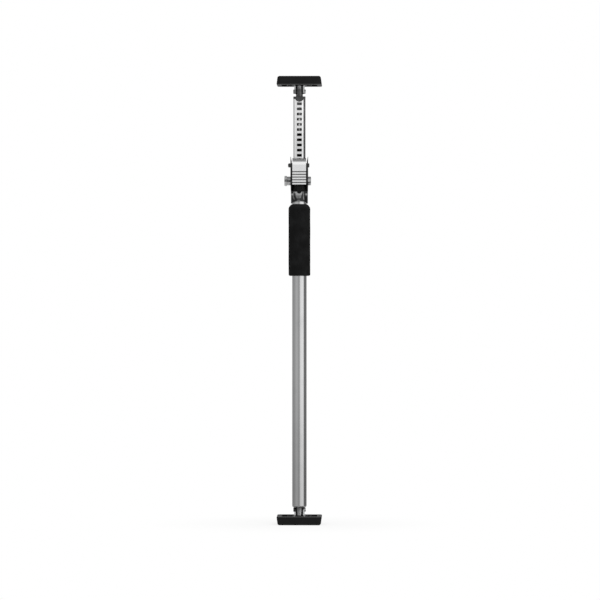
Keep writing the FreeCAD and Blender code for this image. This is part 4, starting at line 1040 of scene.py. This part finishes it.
route = spring_path()
print("spring wire", round(np.linalg.norm(np.diff(route, axis=0), axis=1).sum() * TO_MM), "mm long")

# %% [markdown]
# ## The spring's wire
#
# The wire is round, so a ring of points goes round every point of the path. A ring needs two directions
# square to the path: the spring's own axis, less its share along the path, gives the first, and a cross
# product the second. A curve with a bevel could do the same, but arrays give a closed mesh at once.

# %% A wire carried along the path
WIRE_SIDES = 14
COIL_AXIS = np.array([1.0, 0.0, 0.0])


def wire_surface(route):
    """Point = route + half the wire x (cos a side + sin a up). Side and up stand square to the route."""
    ahead = np.gradient(route, axis=0)
    ahead /= np.linalg.norm(ahead, axis=1, keepdims=True)
    side = COIL_AXIS - ahead * ahead[:, :1]
    side /= np.linalg.norm(side, axis=1, keepdims=True)
    up = np.cross(ahead, side)
    a = np.linspace(0, 2 * np.pi, WIRE_SIDES, endpoint=False)[None, :, None]
    return route[:, None] + WIRE / 2 * (np.cos(a) * side[:, None] + np.sin(a) * up[:, None])


def wire_mesh(name, points):
    """A mesh from points[row, column, xyz] that closes round each row and has a flat face at both ends."""
    index = np.arange(points.shape[0] * points.shape[1]).reshape(points.shape[:2])
    beside = np.roll(index, -1, axis=1)
    sides = np.stack([index[:-1], beside[:-1], beside[1:], index[1:]], axis=-1).reshape(-1, 4)
    ends = [index[0, ::-1].tolist(), index[-1].tolist()]
    return mesh_piece(name, points, sides.tolist() + ends)


spring = wire_mesh("lever_spring_wire", wire_surface(route))
spring.data.materials.append(finishes["spring_steel"])
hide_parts("lever_spring")
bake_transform(spring)
print(len(spring.data.polygons), "faces in the spring")

# %% [markdown]
# ## Finishes on the pieces
#
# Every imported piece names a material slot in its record. The finish made for that slot goes on its mesh.

# %% Put each finish on its pieces
for name, piece in frame["nodes"].items():
    piece.data.materials.clear()
    piece.data.materials.append(finishes[slot_of[name]])
print(sorted({slot_of[name] for name in frame["nodes"]}))

# %% [markdown]
# ## A white studio
#
# The background is white to the camera. Steel shows what is round it more than its own colour, so the
# studio has a shape: a large soft box at the right of the camera, a quieter wall at the left, and a dark
# curtain at the far right, which gives the tube its dark edge. They are painted in the world by
# direction, for reflected rays only. Other rays see an even light. Each stop of the paint is a place
# round the room, from behind the support over its left, its front and its right, and a grey level.

# %% World
AZIMUTH_STOPS = [
    (0.0, 0.36),
    (0.15, 0.34),
    (0.24, 0.34),
    (0.3, 0.43),
    (0.36, 0.5),
    (0.4, 0.52),
    (0.45, 0.42),
    (0.506, 0.36),
    (0.524, 0.82),
    (0.57, 0.92),
    (0.62, 1.0),
    (0.688, 0.95),
    (0.718, 0.2),
    (0.78, 0.17),
    (0.87, 0.2),
    (1.0, 0.36),
]
VIEW_TURN = math.radians(0.9)
BOX_STRENGTH = 1.62
EVEN_LIGHT = 0.78
CEILING = grey(0.68)
CEILING_FROM = (0.35, 0.8)
BACK_WALL = grey(0.2)
BACK_WALL_RISE = (0.2, 0.5)
BACK_WALL_FROM = (0.0, 0.4)
FLOOR_SHEEN = grey(0.55)
FLOOR_BELOW = (0.15, 0.5)
WHITE = grey(1.0)


def white_studio():
    """Camera rays see white, reflected rays the painted studio, and all others an even light."""
    world = bpy.data.worlds.new("white_studio")
    world.use_nodes = True
    bpy.context.scene.world = world
    shop = Shop(world.node_tree)
    x, y, z = shop.split(shop.flow("ShaderNodeTexCoord"))
    turn = (shop.sum("ARCTAN2", x, -y) - VIEW_TURN) / (2 * math.pi) + 0.5
    painted = shop.flow("ShaderNodeValToRGB", {"stops": AZIMUTH_STOPS}, {"Fac": turn})
    painted = shop.mix(shop.step(z, *CEILING_FROM), painted, CEILING)
    painted = shop.mix(shop.step(z, *BACK_WALL_RISE) * shop.step(y, *BACK_WALL_FROM), painted, BACK_WALL)
    painted = shop.mix(shop.step(-z, *FLOOR_BELOW), painted, FLOOR_SHEEN)
    path = shop.node("ShaderNodeLightPath")
    seen = Flow(shop, path.outputs["Is Camera Ray"])
    mirrored = Flow(shop, path.outputs["Is Glossy Ray"])
    strength = EVEN_LIGHT + seen * (1 - EVEN_LIGHT) + mirrored * (BOX_STRENGTH - EVEN_LIGHT)
    colour = shop.mix(mirrored, WHITE, painted)
    back = shop.node("ShaderNodeBackground", None, {"Color": colour, "Strength": strength})
    out = shop.node("ShaderNodeOutputWorld")
    shop.tree.links.new(back.outputs[0], out.inputs["Surface"])


white_studio()
print("studio painted with", len(AZIMUTH_STOPS), "stops")

# %% [markdown]
# ## A pale floor
#
# The floor is a wide square at the height of the foot pad's face. A diffuse floor would show its far edge
# as a grey horizon, so to the camera it is plain white, and only near the pad a fifth of it is left
# diffuse, to show the shadow.

# %% Floor
FLOOR_REACH = 40.0
FLOOR_PAINT = grey(0.9)
WHITE_AT_PAD = 0.8
SHADOW_END = (0.04, 0.3)


def pale_floor():
    """White share = less than 1 at the pad, growing to 1 with the distance, for camera rays alone."""
    r = FLOOR_REACH
    mesh = bpy.data.meshes.new("floor")
    mesh.from_pydata([(-r, -r, 0), (r, -r, 0), (r, r, 0), (-r, r, 0)], [], [(0, 1, 2, 3)])
    floor = bpy.data.objects.new("floor", mesh)
    bpy.context.scene.collection.objects.link(floor)
    floor.visible_glossy = False
    paint = bpy.data.materials.new("pale_floor")
    paint.use_nodes = True
    shop = Shop(paint.node_tree)
    place = Flow(shop, shop.node("ShaderNodeTexCoord").outputs["Object"])
    away = shop.flow("ShaderNodeVectorMath", {"operation": "LENGTH"}, {0: place}, "Value")
    seen = Flow(shop, shop.node("ShaderNodeLightPath").outputs["Is Camera Ray"])
    white_share = seen * (WHITE_AT_PAD + (1 - WHITE_AT_PAD) * shop.step(away, *SHADOW_END))
    plain = shop.node("ShaderNodeBsdfDiffuse", None, {"Color": FLOOR_PAINT})
    white = shop.node("ShaderNodeEmission", None, {"Color": WHITE, "Strength": 1.0})
    both = shop.node("ShaderNodeMixShader", None, {"Fac": white_share})
    shop.tree.links.new(plain.outputs[0], both.inputs[1])
    shop.tree.links.new(white.outputs[0], both.inputs[2])
    out = shop.node("ShaderNodeOutputMaterial")
    shop.tree.links.new(both.outputs[0], out.inputs["Surface"])
    mesh.materials.append(paint)


pale_floor()
print("floor laid,", FLOOR_REACH * 2, "m wide")

# %% [markdown]
# ## Lamp
#
# One large lamp at the upper right gives the black parts their shape. It shows neither to the camera nor
# in the steel, where the painted soft box stands for it.


# %% Lamp
def soft_lamp(name, place, side, power):
    """A square lamp of this side that looks at the middle of the support."""
    light = bpy.data.lights.new(name, "AREA")
    light.shape = "SQUARE"
    light.size = side
    light.energy = power
    lamp = bpy.data.objects.new(name, light)
    bpy.context.scene.collection.objects.link(lamp)
    lamp.location = place
    away = lamp.location.copy()
    away.z -= middle
    lamp.rotation_euler = away.to_track_quat("Z", "Y").to_euler()
    lamp.visible_camera = False
    lamp.visible_glossy = False


soft_lamp("key", place=(1.6, -2.4, 1.9), side=1.6, power=32.0)
print("lamp lit")

# %% [markdown]
# ## Camera
#
# The camera stands almost seven metres in front and a little to the right, at half the support's height,
# with a long lens. So both pads show their inner sides a little, and the right sides of the bar and the
# housing just show. Its place follows from where the foot and the axis lie in the picture.

# %% Camera
FRAME_PIXELS = 600
METRES_PER_PIXEL = 0.0017285
DISTANCE = 6.6
FOOT_PIXEL = 524.1
AXIS_PIXEL = 299.4
SENSOR = 36.0

camera_data = bpy.data.cameras.new("camera")
camera_data.sensor_width = SENSOR
camera_data.lens = SENSOR * DISTANCE / (FRAME_PIXELS * METRES_PER_PIXEL)
camera_data.shift_x = (FRAME_PIXELS / 2 - AXIS_PIXEL) / FRAME_PIXELS
camera = bpy.data.objects.new("camera", camera_data)
bpy.context.scene.collection.objects.link(camera)
camera_x = DISTANCE * math.sin(VIEW_TURN)
camera_y = -DISTANCE * math.cos(VIEW_TURN)
camera_z = (FOOT_PIXEL - FRAME_PIXELS / 2) * METRES_PER_PIXEL
camera.location = (camera_x, camera_y, camera_z)
camera.rotation_euler = (math.pi / 2, 0, VIEW_TURN)
bpy.context.scene.camera = camera
bpy.context.scene.view_settings.view_transform = "Standard"
print("lens", round(camera_data.lens, 1), "mm at", DISTANCE, "m")
